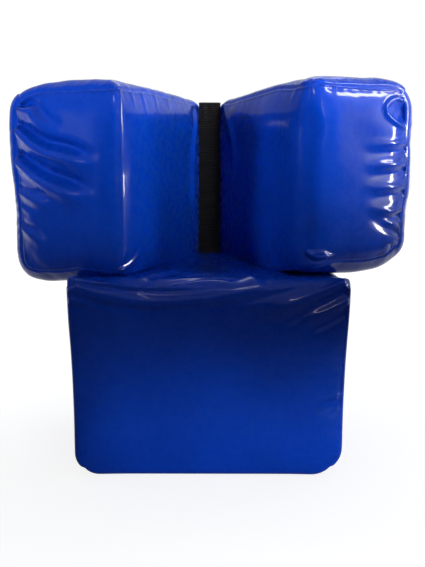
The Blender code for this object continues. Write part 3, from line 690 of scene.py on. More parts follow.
def make_looks():
    """Each look's material and slot."""
    thread = plain_finish("thread_navy", (0.003, 0.006, 0.030), (0.008, 0.014, 0.060), 0.5, 0.7, 900.0)
    nickel = plain_finish("nickel_plate", (0.42, 0.41, 0.39), (0.62, 0.61, 0.58), 0.22, 0.42, 220.0, 1.0)
    black = plain_finish("zip_black", (0.008, 0.008, 0.009), (0.022, 0.022, 0.024), 0.45, 0.65, 400.0)
    rib = webbing("webbing_black", (0.0015, 0.0015, 0.002), (0.050, 0.046, 0.043), 0.0059)
    strap = webbing("webbing_strap", (0.006, 0.006, 0.007), (0.050, 0.048, 0.046), 0.0024)
    return {
        "fabric": (coated_fabric(), "coated_fabric_blue"), "seam_thread": (thread, "coated_fabric_blue"),
        "rib": (rib, "webbing_black"), "strap": (strap, "webbing_black"), "thread": (thread, "webbing_black"),
        "zip": (black, "zip_black"), "nickel": (nickel, None)}


LOOKS = make_looks()

# Webbing, tapes and stitches


def slab_piece(name, top, bottom, uv, look, body, node_name=None):
    """A closed slab between two grids as a piece, with its coordinates in metres."""
    points, faces = slab(top, bottom)
    flat = np.stack(uv, -1).reshape(-1, 2)
    flat = np.concatenate([flat, flat])
    return make_piece(name, points, faces, look, body, flat[faces], [node_name] if node_name else ())


def lay_slab(name, block, side, centre, a, b, low, high, uv, look, node_name=None):
    """A closed slab between two heights over a side of a block, on grids of that side's coordinates."""
    top, _ = block.at(side, centre[0] + a, centre[1] + b, high)
    bottom, _ = block.at(side, centre[0] + a, centre[1] + b, low)
    return slab_piece(name, top, bottom, uv, look, block.body, node_name)


def grab_strap(block, side, centre):
    """A webbing grab strap: a ribbon along the first coordinate, its edges thinner than its middle.

    It has flat feet, then a smooth step up to a level bridge.
    """
    v = np.concatenate([[-1, -0.96], np.linspace(-0.86, 0.86, 9), [0.96, 1]]) * STRAP_WIDTH / 2
    along, across = np.meshgrid(np.linspace(-STRAP_HALF, STRAP_HALF, 105), v, indexing="ij")
    lift = STRAP_RISE * smooth_step((STRAP_HALF - STRAP_FOOT - np.abs(along)) / 0.040)
    lift = lift + 0.0012 * (1 - (2 * across / STRAP_WIDTH) ** 2) * smooth_step(lift / STRAP_RISE)
    thin = 0.0010 * np.abs(2 * across / STRAP_WIDTH) ** 8
    sag = 0.0035 * smooth_step(lift / STRAP_RISE)
    lay_slab(block.body + "_grab_strap", block, side, centre, along, across - sag, 0.0018 + lift + thin,
             0.0043 + lift - thin, (across, along), "strap", block.body + "_handle_strap")


def rounded_plate(half_a, half_b):
    """Grid coordinates of a plate with rounded corners: a square grid squeezed into the corner circles."""
    s = np.sin(np.linspace(-1, 1, 39) * np.pi / 2)
    t = np.sin(np.linspace(-1, 1, 13) * np.pi / 2)
    a, b = np.meshgrid(s * half_a, t * half_b, indexing="ij")
    over_a = np.maximum(np.abs(a) - (half_a - PATCH_CORNER), 0) / PATCH_CORNER
    over_b = np.maximum(np.abs(b) - (half_b - PATCH_CORNER), 0) / PATCH_CORNER
    reach = np.hypot(over_a, over_b)
    squeeze = np.where(reach > 0, np.maximum(over_a, over_b) / np.maximum(reach, 1e-9), 1)
    a = np.sign(a) * (np.minimum(np.abs(a), half_a - PATCH_CORNER) + over_a * squeeze * PATCH_CORNER)
    b = np.sign(b) * (np.minimum(np.abs(b), half_b - PATCH_CORNER) + over_b * squeeze * PATCH_CORNER)
    return a, b, np.minimum(half_a - np.abs(a), half_b - np.abs(b))


def patch(name, block, side, centre, halves, thickness, stitch_height, node_name):
    """A sewn patch, a thin plate whose rim is pressed down by its seam, and the path of its stitch line."""
    a, b, edge = rounded_plate(*halves)
    seam_dip = 0.0005 * bell(edge, 0.004, 0.0015)
    top = thickness + 0.0006 * smooth_step(edge / 0.006) - seam_dip
    lay_slab(name, block, side, centre, a, b, -0.0004, top, (a, b), "fabric", node_name)
    turn = np.linspace(0, 2 * np.pi, 160)
    a, b = (np.clip(wave * 10, -1, 1) * (half - PATCH_CORNER) + wave * (PATCH_CORNER - PATCH_INSET)
            for wave, half in zip((np.cos(turn), np.sin(turn)), halves))
    return [block.at(side, centre[0] + a, centre[1] + b, stitch_height)]


def thread_stitches(name, paths, look, body):
    """Rows of stitches along paths on a surface, each a short five-sided spindle that dips at both ends."""
    rings = np.array([(-0.5, 0.35, -0.7), (-0.25, 1.0, 0.15), (0.25, 1.0, 0.15), (0.5, 0.35, -0.7)])
    run, wide, lift = (rings[:, k, None, None] for k in range(3))
    turn = (np.arange(5) * 2 * np.pi / 5)[:, None]
    stitches = []
    for places, normals in paths:
        total = np.concatenate([[0], np.cumsum(np.linalg.norm(np.diff(places, axis=0), axis=1))])
        count = int(total[-1] / STITCH_PITCH)
        middle = (np.arange(count) + 0.5) * total[-1] / count
        centre, after, before, up = (
            np.stack([np.interp(middle + step, total, values[:, k]) for k in range(3)], 1)
            for values, step in ((places, 0), (places, 0.0008), (places, -0.0008), (normals, 0)))
        ahead, up = unit(after - before), unit(up)
        across = np.cross(up, ahead)
        centre, ahead, up, across = (values[:, None, None, :] for values in (centre, ahead, up, across))
        stitches.append(centre + ahead * run * STITCH_LENGTH
                        + up * (lift * STITCH_RADIUS + wide * STITCH_RADIUS * np.sin(turn))
                        + across * wide * STITCH_RADIUS * np.cos(turn))
    points = np.concatenate(stitches).reshape(-1, 3)
    faces = repeated(grid_faces(4, 5, wrap=True), len(points) // 20, 20)
    make_piece(name, points, faces[:, ::-1], look, body)


def box_and_cross(block, side, centre, half_a, half_b, off):
    """The paths of a sewn box with a cross in it."""
    corners = np.array([(-half_a, -half_b), (half_a, -half_b), (half_a, half_b), (-half_a, half_b)])
    t = np.linspace(0, 1, 24)
    rows = []
    for start, end in ((0, 1), (1, 2), (2, 3), (3, 0), (0, 2), (1, 3)):
        (a0, b0), (a1, b1) = corners[start], corners[end]
        rows.append(block.at(side, centre[0] + a0 + (a1 - a0) * t, centre[1] + b0 + (b1 - b0) * t, off))
    return rows


def handle(block, side, centre):
    """A grab strap on its sewn patch, and its stitches' paths: the patch's rim and a box on each foot."""
    rows = patch(block.body + "_handle_patch", block, side, centre, HANDLE_PATCH, 0.0012, 0.0014,
                 block.body + "_handle_backing")
    grab_strap(block, side, centre)
    for foot in (-FOOT_MIDDLE, FOOT_MIDDLE):
        rows += box_and_cross(block, side, (centre[0] + foot, centre[1]), *FOOT_BOX, 0.0045)
    return rows


def zip_fastener(block, side, centre, length):
    """A coil zip: a woven tape, two folded lips of the cover and a chain of coil turns.

    A coil turn is a small arch across the chain: its height is the square root of one minus the square of
    its place across, and turns from the two sides stand half a pitch apart.
    """
    name = block.body + "_zip_"
    half = length / 2
    a, b = np.meshgrid(np.linspace(-half, half, 60), np.linspace(-0.0155, 0.0155, 9), indexing="ij")
    lay_slab(name + "tape_cloth", block, side, centre, a, b, -0.0006, 0.0006, (b, a), "zip", name + "tape")
    for mark, way in (("low", -1), ("high", 1)):
        u = np.linspace(-half - 0.006, half + 0.006, 90)
        a, s = np.meshgrid(u, np.linspace(0, 1, 11), indexing="ij")
        b = way * (0.0088 + 0.0122 * s)
        swell = np.sqrt(np.clip(1 - (1 - np.clip(s / 0.30, 0, 1)) ** 2, 0, 1))
        swell = swell * (1 - 0.55 * rise(s, 0.3, 0.7))
        stitch_dip = 0.0006 * bell(s, 0.42, 0.10)
        ripple = 0.00025 * np.sin(a * 2 * np.pi / 0.017 + way) * s
        wander = 0.0004 * np.sin(a * 2 * np.pi / 0.09 + way)
        lay_slab(name + "lip_" + mark, block, side, centre, a, b + wander, -0.0008,
                 0.0005 + 0.0022 * swell - stitch_dip + ripple, (a, b), "fabric")
    count = int(length / COIL_PITCH) - 2
    turn_a = (np.arange(count) - (count - 1) / 2) * COIL_PITCH
    s = np.linspace(-0.35, 1.0, 7)
    arch = np.sqrt(np.clip(1 - np.clip((s - 0.2) / 0.82, -1, 1) ** 2, 0.04, 1))
    for mark, way, shift in (("low", -1, 0.0), ("high", 1, COIL_PITCH / 2)):
        middle, along, around = np.meshgrid(
            turn_a + shift, np.arange(7), np.arange(6) * 2 * np.pi / 6, indexing="ij")
        points, _ = block.at(
            side, centre[0] + middle + COIL_WIRE * np.cos(around), centre[1] + way * 0.0030 * s[along],
            0.0009 + 0.0010 * arch[along] + COIL_WIRE * np.sin(around))
        points = points.reshape(-1, 3)
        first = points[:COIL_POINTS]
        pattern = turned_out(first - first.mean(0), grid_faces(7, 6, wrap=True))
        make_piece(name + "coil_" + mark, points, repeated(pattern, count, COIL_POINTS), "zip", block.body)


def hinge_webbing():
    """The webbing spine between the arms: a ribbon that climbs, folds over its top and hangs behind.

    Its path runs up, round a small half circle and down again; pleats are waves across the ribbon that fade
    down from the fold, and the part that hangs behind is a little narrower.
    """
    half, low, high, fold_radius = 0.0294, 0.275, 0.8618, 0.0030
    up_steps, down_steps = 190, 14
    front_y, rear_y = HINGE_DEPTH - 0.0002, HINGE_DEPTH - 0.0002 + 2 * fold_radius
    turn = np.linspace(0, np.pi, 11)[1:-1]
    climb = np.linspace(low, high - fold_radius, up_steps)
    hang = np.linspace(high - fold_radius, high - 0.040, down_steps)
    y = np.concatenate([
        np.full(up_steps, front_y), front_y + fold_radius * (1 - np.cos(turn)), np.full(down_steps, rear_y)])
    z = np.concatenate([climb, high - fold_radius + fold_radius * np.sin(turn), hang])
    out_y = np.concatenate([np.full(up_steps, -1.0), -np.cos(turn), np.full(down_steps, 1.0)])
    out_z = np.concatenate([np.zeros(up_steps), np.sin(turn), np.zeros(down_steps)])
    length = np.concatenate([[0], np.cumsum(np.hypot(np.diff(y), np.diff(z)))])
    v = np.concatenate([[-1, -0.97], np.linspace(-0.9, 0.9, 23), [0.97, 1]]) * half
    y, z, out_y, out_z, along = (np.tile(values[:, None], len(v)) for values in (y, z, out_y, out_z, length))
    across = v * (1 - 0.08 * smooth_step((y - front_y) / (2 * fold_radius)))
    near_top = rise(z, 0.80, 0.05) * smooth_step((high + 0.004 - z) / 0.016)
    pleat = 0.0016 * np.sin(across * 2 * np.pi / 0.019 + 0.7) * near_top * (out_y < 0)
    swell = 0.0012 * (1 - (across / half) ** 2) * (out_y < 0) * rise(z, 0.43, 0.05)
    thin = 0.0008 * np.abs(across / half) ** 10
    shift = pleat + swell
    top = np.stack([across, y + out_y * (shift + 0.0013 - thin), z + out_z * (0.0013 - thin)], -1)
    bottom = np.stack([across, y + out_y * (shift - 0.0011 + thin), z - out_z * (0.0011 - thin)], -1)
    slab_piece("hinge_webbing", top, bottom, (across, along), "rib", "base", "hinge_spine")
    level = np.linspace(low + 0.006, high - 0.010, 200)
    across = np.linspace(-0.0235, 0.0235, 28)
    rows = []
    for x, y, z in ((-0.0254, front_y + 0.0012, level), (0.0254, front_y + 0.0012, level),
                    (across, rear_y + 0.0013, high - 0.034), (across, rear_y + 0.0013, high - 0.029)):
        line = np.stack(np.broadcast_arrays(x, y, z), 1)
        rows.append((line, np.tile([0.0, 1.0, 0.0], (len(line), 1))))
    thread_stitches("hinge_webbing_stitches", rows, "thread", "base")


def hinge_tape(block):
    """The webbing sewn down the back of an arm beside the hinge: a flat ribbon with thin selvedges."""
    tall = ARM_SIZE[2]
    v = np.concatenate([[-1, -0.95], np.linspace(-0.85, 0.85, 13), [0.95, 1]])
    b, s = np.meshgrid(np.linspace(0.004, tall - 0.004, 120), v, indexing="ij")
    a = 0.0235 + 0.0225 * s
    top = 0.0022 - 0.0009 * np.abs(s) ** 10
    lay_slab(block.body + "_hinge_webbing", block, REAR, (0, 0), a, b, -0.0004, top, (a, b), "rib",
             block.body + "_hinge_tape")
    level = np.linspace(0.008, tall - 0.008, 160)
    rows = [block.at(REAR, np.full(160, place), level, 0.0023) for place in (0.010, 0.0415)]
    thread_stitches(block.body + "_hinge_stitches", rows, "thread", block.body)


def seam_stitches(block, seams):
    """Stitches beside chosen seams, each a side and the edge of it that is sewn."""
    rows = []
    for side, edge in seams:
        size = block.lattice.size[list(ACROSS[side])]
        run = np.linspace(0.004, size[1 - edge // 2] - 0.004, 220)
        fixed = np.full(220, size[edge // 2] - STITCH_FROM_SEAM if edge % 2 else STITCH_FROM_SEAM)
        rows.append(block.at(side, *((run, fixed) if edge in (LOW_B, HIGH_B) else (fixed, run)), 0.0001))
    thread_stitches(block.body + "_seam_stitches", rows, "seam_thread", block.body)


# The blocks

ARM_GROUPS = ([OUTER, UNDERSIDE, TOP], [INNER, FRONT], [REAR])
ARM_SOFT = {
    -1: ((OUTER, UNDERSIDE, 0.024), (OUTER, TOP, 0.034), (INNER, FRONT, 0.011)),
    1: ((OUTER, UNDERSIDE, 0.052), (OUTER, TOP, 0.036), (INNER, FRONT, 0.034))}
ARM_CROWNS = {INNER: 0.008, OUTER: 0.032, REAR: 0.008, FRONT: 0.009, UNDERSIDE: 0.0135, TOP: 0.018}
ARM_ROLLS = ((0.030, 0.6), (0.055, 1.0), (0.055, 1.0))


def arm_place(side):
    """The function that puts an arm's points into the frame: mirrored, raised and swung out at its hinge."""
    turn = side * SPLAY[side]

    def place(points):
        x, y = side * points[:, 0], -points[:, 1]
        z = points[:, 2] + ARM_BOTTOM_SEAM + LIFT[side] * np.maximum(points[:, 1], 0) / ARM_SIZE[1]
        return np.stack([
            side * HINGE_HALF_WIDTH + x * math.cos(turn) - y * math.sin(turn),
            HINGE_DEPTH + x * math.sin(turn) + y * math.cos(turn), z], 1)
    return place


def base_place(points):
    """Centre the base, turn it to the front and let it widen towards the top."""
    spread = 1 + BASE_TOP_SPREAD / BASE_SIZE[0] * points[:, 2] / BASE_SIZE[2]
    return np.stack([
        (points[:, 0] - BASE_HALF) * spread, BASE_SIZE[1] / 2 - points[:, 1],
        np.maximum(points[:, 2] + BASE_FLOOR_CROWN, 0)], 1)


def arm_fittings():
    """The mask that keeps an arm's outer side level under its handle, zip and vents."""
    long, tall = ARM_SIZE[1:]
    return clear_of(
        (long / 2, 0.058, 0.160, 0.024), (long / 2, tall - 0.150, 0.150, 0.034),
        (VENT_IN, tall - VENT_DOWN, 0.018, 0.018), (long - VENT_IN, tall - VENT_DOWN, 0.018, 0.018))


def front_vent_level():
    """The mask that keeps an arm's bulging outer side at its own level round the front vent."""
    return clear_of((ARM_SIZE[1] - VENT_IN, ARM_SIZE[2] - VENT_DOWN, 0.014, 0.014))


def beside_hinge(a, b):
    """The mask that keeps an arm's rear level under the hinge tape."""
    return rise(a, 0.046, 0.03)


def left_arm_folds():
    """The drag folds of the left arm's end and inner side."""
    end_folds = [
        fold([262, 372, 208, 358, 187, 341, 165, 326, 120, 304], 11, 10.5, 0.10, 0.5, 0.8, 1.2),
        fold([262, 330, 207, 296, 171, 278, 124, 266, 82, 252, 40, 236], 14, 14.5, 0.10, 0.35, 0.8, 1.3),
        ridge([215, 268, 146, 252, 96, 240, 45, 226], 12, 3, 0.3, 0.4),
        fold([262, 262, 210, 232, 174, 212, 137, 199, 98, 186, 45, 174], 15, 14.5, 0.10, 0.35, 0.8, 1.3),
        ridge([205, 188, 160, 166, 110, 152, 50, 140], 24, 5, 0.3, 0.5),
        fold([256, 182, 217, 170, 183, 162, 135, 150], 10, 7.8, 0.02, 0.6),
        fold([256, 102, 210, 87, 160, 80], 11, 6.2, 0.02, 0.6),
        fold([256, 146, 225, 136, 190, 122], 6, 2.4, 0.02, 0.6),
        ridge([72, 386, 50, 379, 30, 384], 3.5, 3, 0.2, 0.2),
        ridge([40, 376, 20, 381, 4, 374], 3.2, 2.8, 0.2, 0.2)]
    wall_folds = [
        ridge([436, 392, 437, 365, 434, 340], 4.2, 3.6, 0.05, 0.5),
        ridge([391, 390, 392, 365, 390, 345], 5, 3.6, 0.05, 0.5),
        ridge([341, 390, 342, 362, 341, 335], 6, 4.2, 0.05, 0.5),
        ridge([277, 390, 278, 368, 279, 350], 5.5, 3.4, 0.05, 0.5),
        ridge([205, 390, 209, 372, 211, 354], 6.5, 2.8, 0.05, 0.5),
        fold([20, 382, 60, 335, 80, 275, 84, 190, 75, 80], 12, -5, 0.1, 0.4),
        fold([452, 4, 431, 14, 405, 32, 376, 55], 6, 3.6, 0.02, 0.4),
        fold([446, 12, 436, 34, 430, 60], 5, -1.8, 0.02, 0.5)]
    return end_folds, wall_folds


def right_arm_folds():
    """The pinch, gathers and facet of the right arm's end and inner side."""
    end_folds = [
        ridge([262, 372, 236, 370, 209, 361, 190, 347, 191, 333, 219, 317, 258, 304], 3.8, 9.5, 0.04, 0.06),
        dent((240, 341), (34, 19), 13.5, 2.4),
        ridge([262, 338, 240, 336, 220, 331], 4, 5, 0.05, 0.5),
        fold([262, 272, 205, 264, 120, 258], 11, -5, 0.02, 0.55, 0.9, 1.1),
        fold([262, 226, 205, 218, 125, 212], 11, -5.8, 0.02, 0.55, 0.9, 1.1),
        fold([262, 174, 210, 169, 130, 166], 10.5, -5.2, 0.02, 0.55, 0.9, 1.1),
        fold([262, 120, 215, 115, 140, 124], 10, -5.6, 0.02, 0.55, 0.9, 1.1),
        fold([262, 70, 225, 88, 165, 106], 8, -4.6, 0.02, 0.55, 0.8, 1.1),
        fold([-4, 34, 16, 18, 52, 14, 74, 22], 4.5, 10.5, 0.1, 0.3),
        ridge([10, 28, 30, 34, 54, 26], 3.2, 8, 0.2, 0.2)]
    wall_folds = [
        fold([6, 390, 50, 352, 85, 321, 103, 267, 108, 200], 10, 5, 0.05, 0.5),
        ridge([10, 378, 20, 320, 26, 240], 7, 3, 0.1, 0.5),
        ridge([300, 0, 306, 32, 300, 66], 6, 4, 0.05, 0.5),
        ridge([345, 0, 350, 30, 343, 64], 6, 4.6, 0.05, 0.5),
        ridge([388, 0, 388, 26, 380, 56], 6, 4.2, 0.05, 0.5),
        ridge([400, 390, 392, 368, 386, 350], 6, 2.2, 0.05, 0.5)]
    return end_folds, wall_folds


def arm_relief(side):
    """The relief of one arm's six sides, the front and inner ones as the photograph shows them."""
    thick, long, tall = ARM_SIZE
    end, wall, lid = (thick, tall), (long, tall), (thick, long)
    left = side < 0
    seed = 10 if left else 20
    end_folds, wall_folds = left_arm_folds() if left else right_arm_folds()
    wrap = added(*wall_folds, moved_by(-long, added(*end_folds)))
    return {
        FRONT: added(
            moved_by(long, wrap),
            times(away_from(end, 0.02, [LOW_A]),
                  puckers(end, HIGH_B, seed + 1, 1 if left else 0.5, 20, 14, 4.5),
                  puckers(end, LOW_B, seed + 2, 0.9, 26, 20)),
            puckers(end, HIGH_A, seed + 3, 1, 22, 20),
            times(away_from(end, 0.04), waves(seed + 6, 1.4, 160))),
        INNER: added(
            wrap,
            times(away_from(wall, 0.02, [HIGH_A]),
                  puckers(wall, LOW_B, seed + 4, 1, 22, 22), puckers(wall, HIGH_B, seed + 5, 0.7, 22, 20)),
            times(away_from(wall, 0.04), waves(seed + 7, 1, 200))),
        REAR: times(
            beside_hinge, puckers(end, HIGH_A, seed + 9, 1.2), puckers(end, LOW_B, seed + 10, 1),
            puckers(end, HIGH_B, seed + 11, 1.2), times(away_from(end, 0.04), waves(seed + 12, 1.2, 150))),
        OUTER: added(
            times(front_vent_level(), dent((400, 270), (90, 120), -6 if left else -3)),
            times(arm_fittings(), puckers(wall, LOW_A, seed + 13, 1.3, 20, 30),
                  puckers(wall, HIGH_A, seed + 14, 1, 20, 30),
                  times(away_from(wall, 0.03, [LOW_A, HIGH_A]), waves(seed + 15, 1.2, 160)))),
        TOP: added(
            dent((90, 200), (110, 170), -7),
            dent((110, 420), (60, 80), -2) if left else dent((200, 400), (120, 120), -6.5),
            puckers(lid, LOW_A, seed + 16, 1.2, 20, 22), puckers(lid, LOW_B, seed + 17, 1.2),
            puckers(lid, HIGH_B, seed + 18, 1.8, 20, 22),
            times(away_from(lid, 0.03, [LOW_A, LOW_B, HIGH_B]), waves(seed + 19, 1.6, 120))),
        UNDERSIDE: added(
            puckers(lid, LOW_A, seed + 20, 0.6), puckers(lid, LOW_B, seed + 21, 0.6),
            puckers(lid, HIGH_B, seed + 22, 1.2, 22, 18))}


def arm_shift(block, side):
    """How an arm hangs and sits: moves that fade smoothly over its box.

    The underside sags past the base, the lower inner seam settles onto the base, and the top seams ride up.
    """
    x, y, z = block.lattice.points.T
    left = side < 0
    across, upward = np.zeros_like(x), np.zeros_like(x)
    below_zip = 0.16 - 0.123 * rise(x, 0.17, 0.06)
    low = smooth_step((below_zip - z) / below_zip)
    forward = rise(y, 0.10, 0.16)
    settled = fall(z, 0.05, 0.05) * fall(x, 0.030, 0.030)
    if left:
        upward -= 0.0195 * low * forward * bell(x, 0.200, 0.110)
        upward -= 0.0085 * settled * fall(y, 0.33, 0.2)
    else:
        upward -= 0.009 * low * forward * bell(x, 0.150, 0.105)
        upward += 0.006 * rise(x, 0.15, 0.09) * low * forward
        upward -= (0.0085 + 0.0075 * smooth_step(y / 0.20)) * settled * fall(y, 0.42, 0.12)
    lifted = smooth_step((y - ARM_SIZE[1] + 0.040) / 0.040) * fall(z, 0.060, 0.060)
    upward += lifted * (0.004 + rise(x, 0.02, 0.08) * (0.010 if left else 0.015))
    near_front = rise(y, 0.30, 0.10)
    near_inside = fall(x, 0.06, 0.06) * (1 - near_front)
    ride = near_front * (0.006 if left else 0.004) + near_inside * 0.014
    upward += ride * rise(z, 0.320, 0.055)
    outside = rise(x, 0.12, 0.12) * rise(y, 0.22, 0.16) * rise(z, 0.080, 0.09)
    outside = outside * front_vent_level()(y, z)
    if left:
        across += 0.007 * outside * bell(z, 0.250, 0.080)
        upward -= 0.008 * outside * rise(z, 0.300, 0.080) * rise(x, 0.19, 0.06)
    else:
        across += 0.011 * outside * bell(z, 0.200, 0.110)
    return np.stack([across, np.zeros_like(x), upward], 1)


def arm_settle_masks():
    """How far the settling shows on each side: not under fittings, at the hinge or on the base."""
    return {
        OUTER: arm_fittings(), REAR: beside_hinge,
        UNDERSIDE: lambda a, b: 0.15 + 0.6 * rise(a, 0.17, 0.06)}


def base_front_edge(points):
    """The base's top front edge: worn soft in the middle, tighter towards its two corners."""
    across = np.abs(points[:, 0] / BASE_SIZE[0] * 2 - 1)
    return 0.006 + 0.038 * (1 - across ** 4)


BASE_GROUPS = ([INNER, OUTER, FRONT, UNDERSIDE, TOP], [REAR])
BASE_SOFT = (
    (INNER, UNDERSIDE, 0.044), (OUTER, UNDERSIDE, 0.058), (INNER, TOP, 0.010), (OUTER, TOP, 0.010),
    (FRONT, TOP, base_front_edge), (FRONT, UNDERSIDE, 0.010), (FRONT, INNER, 0.008), (FRONT, OUTER, 0.008))
BASE_CROWNS = {INNER: 0.0105, OUTER: 0.0105, REAR: 0.008, FRONT: 0.008, UNDERSIDE: 0.004, TOP: 0.0135}
BASE_ROLLS = ((0.026, 0.6), (0.055, 1.0))


def base_fittings():
    """The mask that keeps the base's rear level under its zip, handle, vents and hinge anchor."""
    vent = BASE_VENT_HEIGHT - BASE_FLOOR_CROWN
    return clear_of(
        (BASE_HALF, BASE_ZIP_HEIGHT - BASE_FLOOR_CROWN, 0.225, 0.024),
        (BASE_HALF, BASE_HANDLE_HEIGHT - BASE_FLOOR_CROWN, 0.150, 0.034),
        (BASE_HALF - BASE_VENT_OUT, vent, 0.018, 0.018), (BASE_HALF + BASE_VENT_OUT, vent, 0.018, 0.018),
        (BASE_HALF, 0.360, 0.052, 0.100))


def base_relief():
    """The relief of the base. The folds that the arms drag across its front and top start from its middle."""
    wide, deep, tall = BASE_SIZE
    face, end = (wide, tall), (deep, tall)
    sagging = [
        -300, 415, -264, 402, -216, 388, -155, 380, -89, 379, -15, 384, 50, 392, 110, 406, 165, 419, 215, 426]
    front_folds = (
        ridge(sagging, 5, 3, 0.02, 0.15), fold(sagging, 12, 6.8, 0.05, 0.25, 0.4, 0.6),
        fold([-300, 426, -235, 418, -146, 412, -64, 413, 0, 416, 50, 414], 8, 5.8, 0.03, 0.4, 0.4, 0.6),
        fold([-180, 404, -100, 398, -20, 402, 60, 409], 7, 4.2, 0.2, 0.3, 0.4, 0.7),
        fold([296, 424, 214, 390, 153, 369, 92, 357], 13, -8.5, 0.03, 0.5),
        fold([298, 391, 235, 361, 174, 344], 13, -7.2, 0.03, 0.5),
        fold([300, 180, 262, 165, 225, 158], 9, -3.2, 0.03, 0.5),
        fold([-298, 381, -269, 381, -230, 368], 8, 3, 0.03, 0.6),
        fold([-300, 52, -284, 46, -262, 50], 4.5, -3.4, 0.03, 0.6),
        fold([300, 50, 285, 44, 266, 48], 4.5, -2.6, 0.03, 0.6),
        dent((0, 250), (240, 140), 11, 2.2))
    top_folds = added(
        fold([30, 150, 50, 250, 78, 330, 125, 436], 9, 6, 0.1, 0.2),
        fold([-20, 120, -40, 230, -90, 340, -150, 430], 8, 4.6, 0.1, 0.2),
        fold([-80, 425, 0, 405, 75, 415], 8, 4, 0.1, 0.3),
        fold([-60, 370, 10, 345, 60, 385], 7, 3.4, 0.1, 0.3))
    drape = moved_by(-BASE_HALF, added(*front_folds, flipped_to(tall + deep, top_folds)))
    return {
        FRONT: added(
            drape, puckers(face, LOW_A, 41, 0.8, 26, 20), puckers(face, HIGH_A, 42, 1, 24, 24),
            puckers(face, LOW_B, 43, 0.7, 30, 16), times(away_from(face, 0.05), waves(44, 1.6, 240))),
        TOP: flipped_to(tall + deep, drape),
        INNER: times(away_from(end, 0.03), waves(47, 1.8, 200)),
        OUTER: times(away_from(end, 0.03), waves(48, 1.8, 200)),
        REAR: times(
            base_fittings(), puckers(face, LOW_A, 49, 1.2, 22, 26), puckers(face, HIGH_A, 50, 1.2, 22, 26),
            puckers(face, HIGH_B, 51, 1), waves(52, 1.2, 200))}


def base_shift(block):
    """The base's top swells in the open V between the arms: a bump that is highest beside the hinge."""
    x, y, z = block.lattice.points.T
    x = np.abs(x - BASE_HALF)
    gap = smooth_step((0.085 + 0.36 * y - x) / 0.045)
    swell = (0.004 + 0.013 * fall(y, 0.26, 0.26)) * gap * rise(z, 0.34, 0.08)
    shoulder = rise(x, 0.14, 0.10) * rise(y, 0.36, 0.06) * rise(z, 0.36, 0.06)
    return np.stack([0 * x, 0 * x, swell + 0.007 * shoulder], 1)


def base_settle_masks():
    """How far the settling shows on each side of the base: none on the floor, little under the arms."""
    def below_top(share):
        return lambda a, b: share * smooth_step((BASE_SIZE[2] - b) / 0.16)

    return {
        REAR: base_fittings(), UNDERSIDE: lambda a, b: 0 * a, TOP: lambda a, b: 0 * a,
        INNER: below_top(0.4), OUTER: below_top(0.4), FRONT: below_top(0.55)}


def dress_block(block, body, shift, settled, masks, place, covers):
    """Settle and place a skin and make it a padded piece that stands for its covers and foams.

    Its coordinates are each face corner's own two in metres.
    """
    if settled:
        shift = shift + carry_move(*settled, block, masks)
    block.finish(body, shift, place)
    axes = np.array(ACROSS)[block.lattice.face_sides]
    uv = np.take_along_axis(block.lattice.points[block.faces], axes[:, None], 2)
    covers = [body + part for part in covers]
    piece = make_piece(body + "_pad", block.points, block.faces, "fabric", body, uv, covers)
    modifier = piece.modifiers.new("smooth", "SUBSURF")
    modifier.levels = modifier.render_levels = 1


def dress_arm(side, name, settled):
    """One arm: its pad and everything sewn on it."""
    arm = Block(ARM_SIZE, ARM_GROUPS, ARM_SOFT[side], ARM_CROWNS, ARM_ROLLS, arm_relief(side))
    covers = ("_wrap_cover", "_band_cover", "_rear_cover", "_foam_core", "_end_foam")
    dress_block(arm, name, arm_shift(arm, side), settled, arm_settle_masks(), arm_place(side), covers)
    middle = ARM_SIZE[1] / 2
    rows = handle(arm, OUTER, (middle, ARM_HANDLE_HEIGHT - ARM_BOTTOM_SEAM))
    thread_stitches(name + "_handle_stitches", rows, "thread", name)
    zip_fastener(arm, OUTER, (middle, ARM_ZIP_HEIGHT - ARM_BOTTOM_SEAM), ARM_ZIP_LENGTH)
    hinge_tape(arm)
    seam_stitches(arm, (
        (FRONT, HIGH_A), (FRONT, LOW_B), (FRONT, HIGH_B), (INNER, HIGH_B), (INNER, LOW_A),
        (REAR, LOW_B), (REAR, HIGH_B), (REAR, HIGH_A)))


def dress_base(settled):
    """The base: its pad, zip, handle, hinge webbing and anchor."""
    base = Block(BASE_SIZE, BASE_GROUPS, BASE_SOFT, BASE_CROWNS, BASE_ROLLS, base_relief())
    covers = ("_front_cover", "_side_cover", "_floor_cover", "_rear_cover", "_foam_core", "_strike_foam")
    dress_block(base, "base", base_shift(base), settled, base_settle_masks(), base_place, covers)
    rows = handle(base, REAR, (BASE_HALF, BASE_HANDLE_HEIGHT - BASE_FLOOR_CROWN))
    anchor = (BASE_HALF, ANCHOR_HEIGHT - BASE_FLOOR_CROWN)
    rows += patch("hinge_anchor", base, REAR, anchor, ANCHOR_PATCH, 0.0016, 0.0019, "hinge_anchor_patch")
    thread_stitches("base_handle_stitches", rows, "thread", "base")
    zip_fastener(base, REAR, (BASE_HALF, BASE_ZIP_HEIGHT - BASE_FLOOR_CROWN), BASE_ZIP_LENGTH)
    hinge_webbing()
    seam_stitches(base, ((REAR, LOW_A), (REAR, HIGH_A), (REAR, LOW_B), (REAR, HIGH_B)))


def main():
    """Dress the frame."""
    settled = [None, None, None]
    coarse = [Block(BASE_SIZE, BASE_GROUPS, BASE_SOFT, BASE_CROWNS, BASE_ROLLS)]
    coarse += [Block(ARM_SIZE, ARM_GROUPS, ARM_SOFT[side], ARM_CROWNS, ARM_ROLLS) for side in (-1, 1)]
    settled = list(zip(coarse, settle(coarse)))
    dress_base(settled[0])
    dress_arm(-1, "left_arm", settled[1])
    dress_arm(1, "right_arm", settled[2])
    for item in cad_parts.values():
        if not item.hide_render:
            item.data.materials.clear()
            item.data.materials.append(LOOKS["nickel"][0])


# Stage

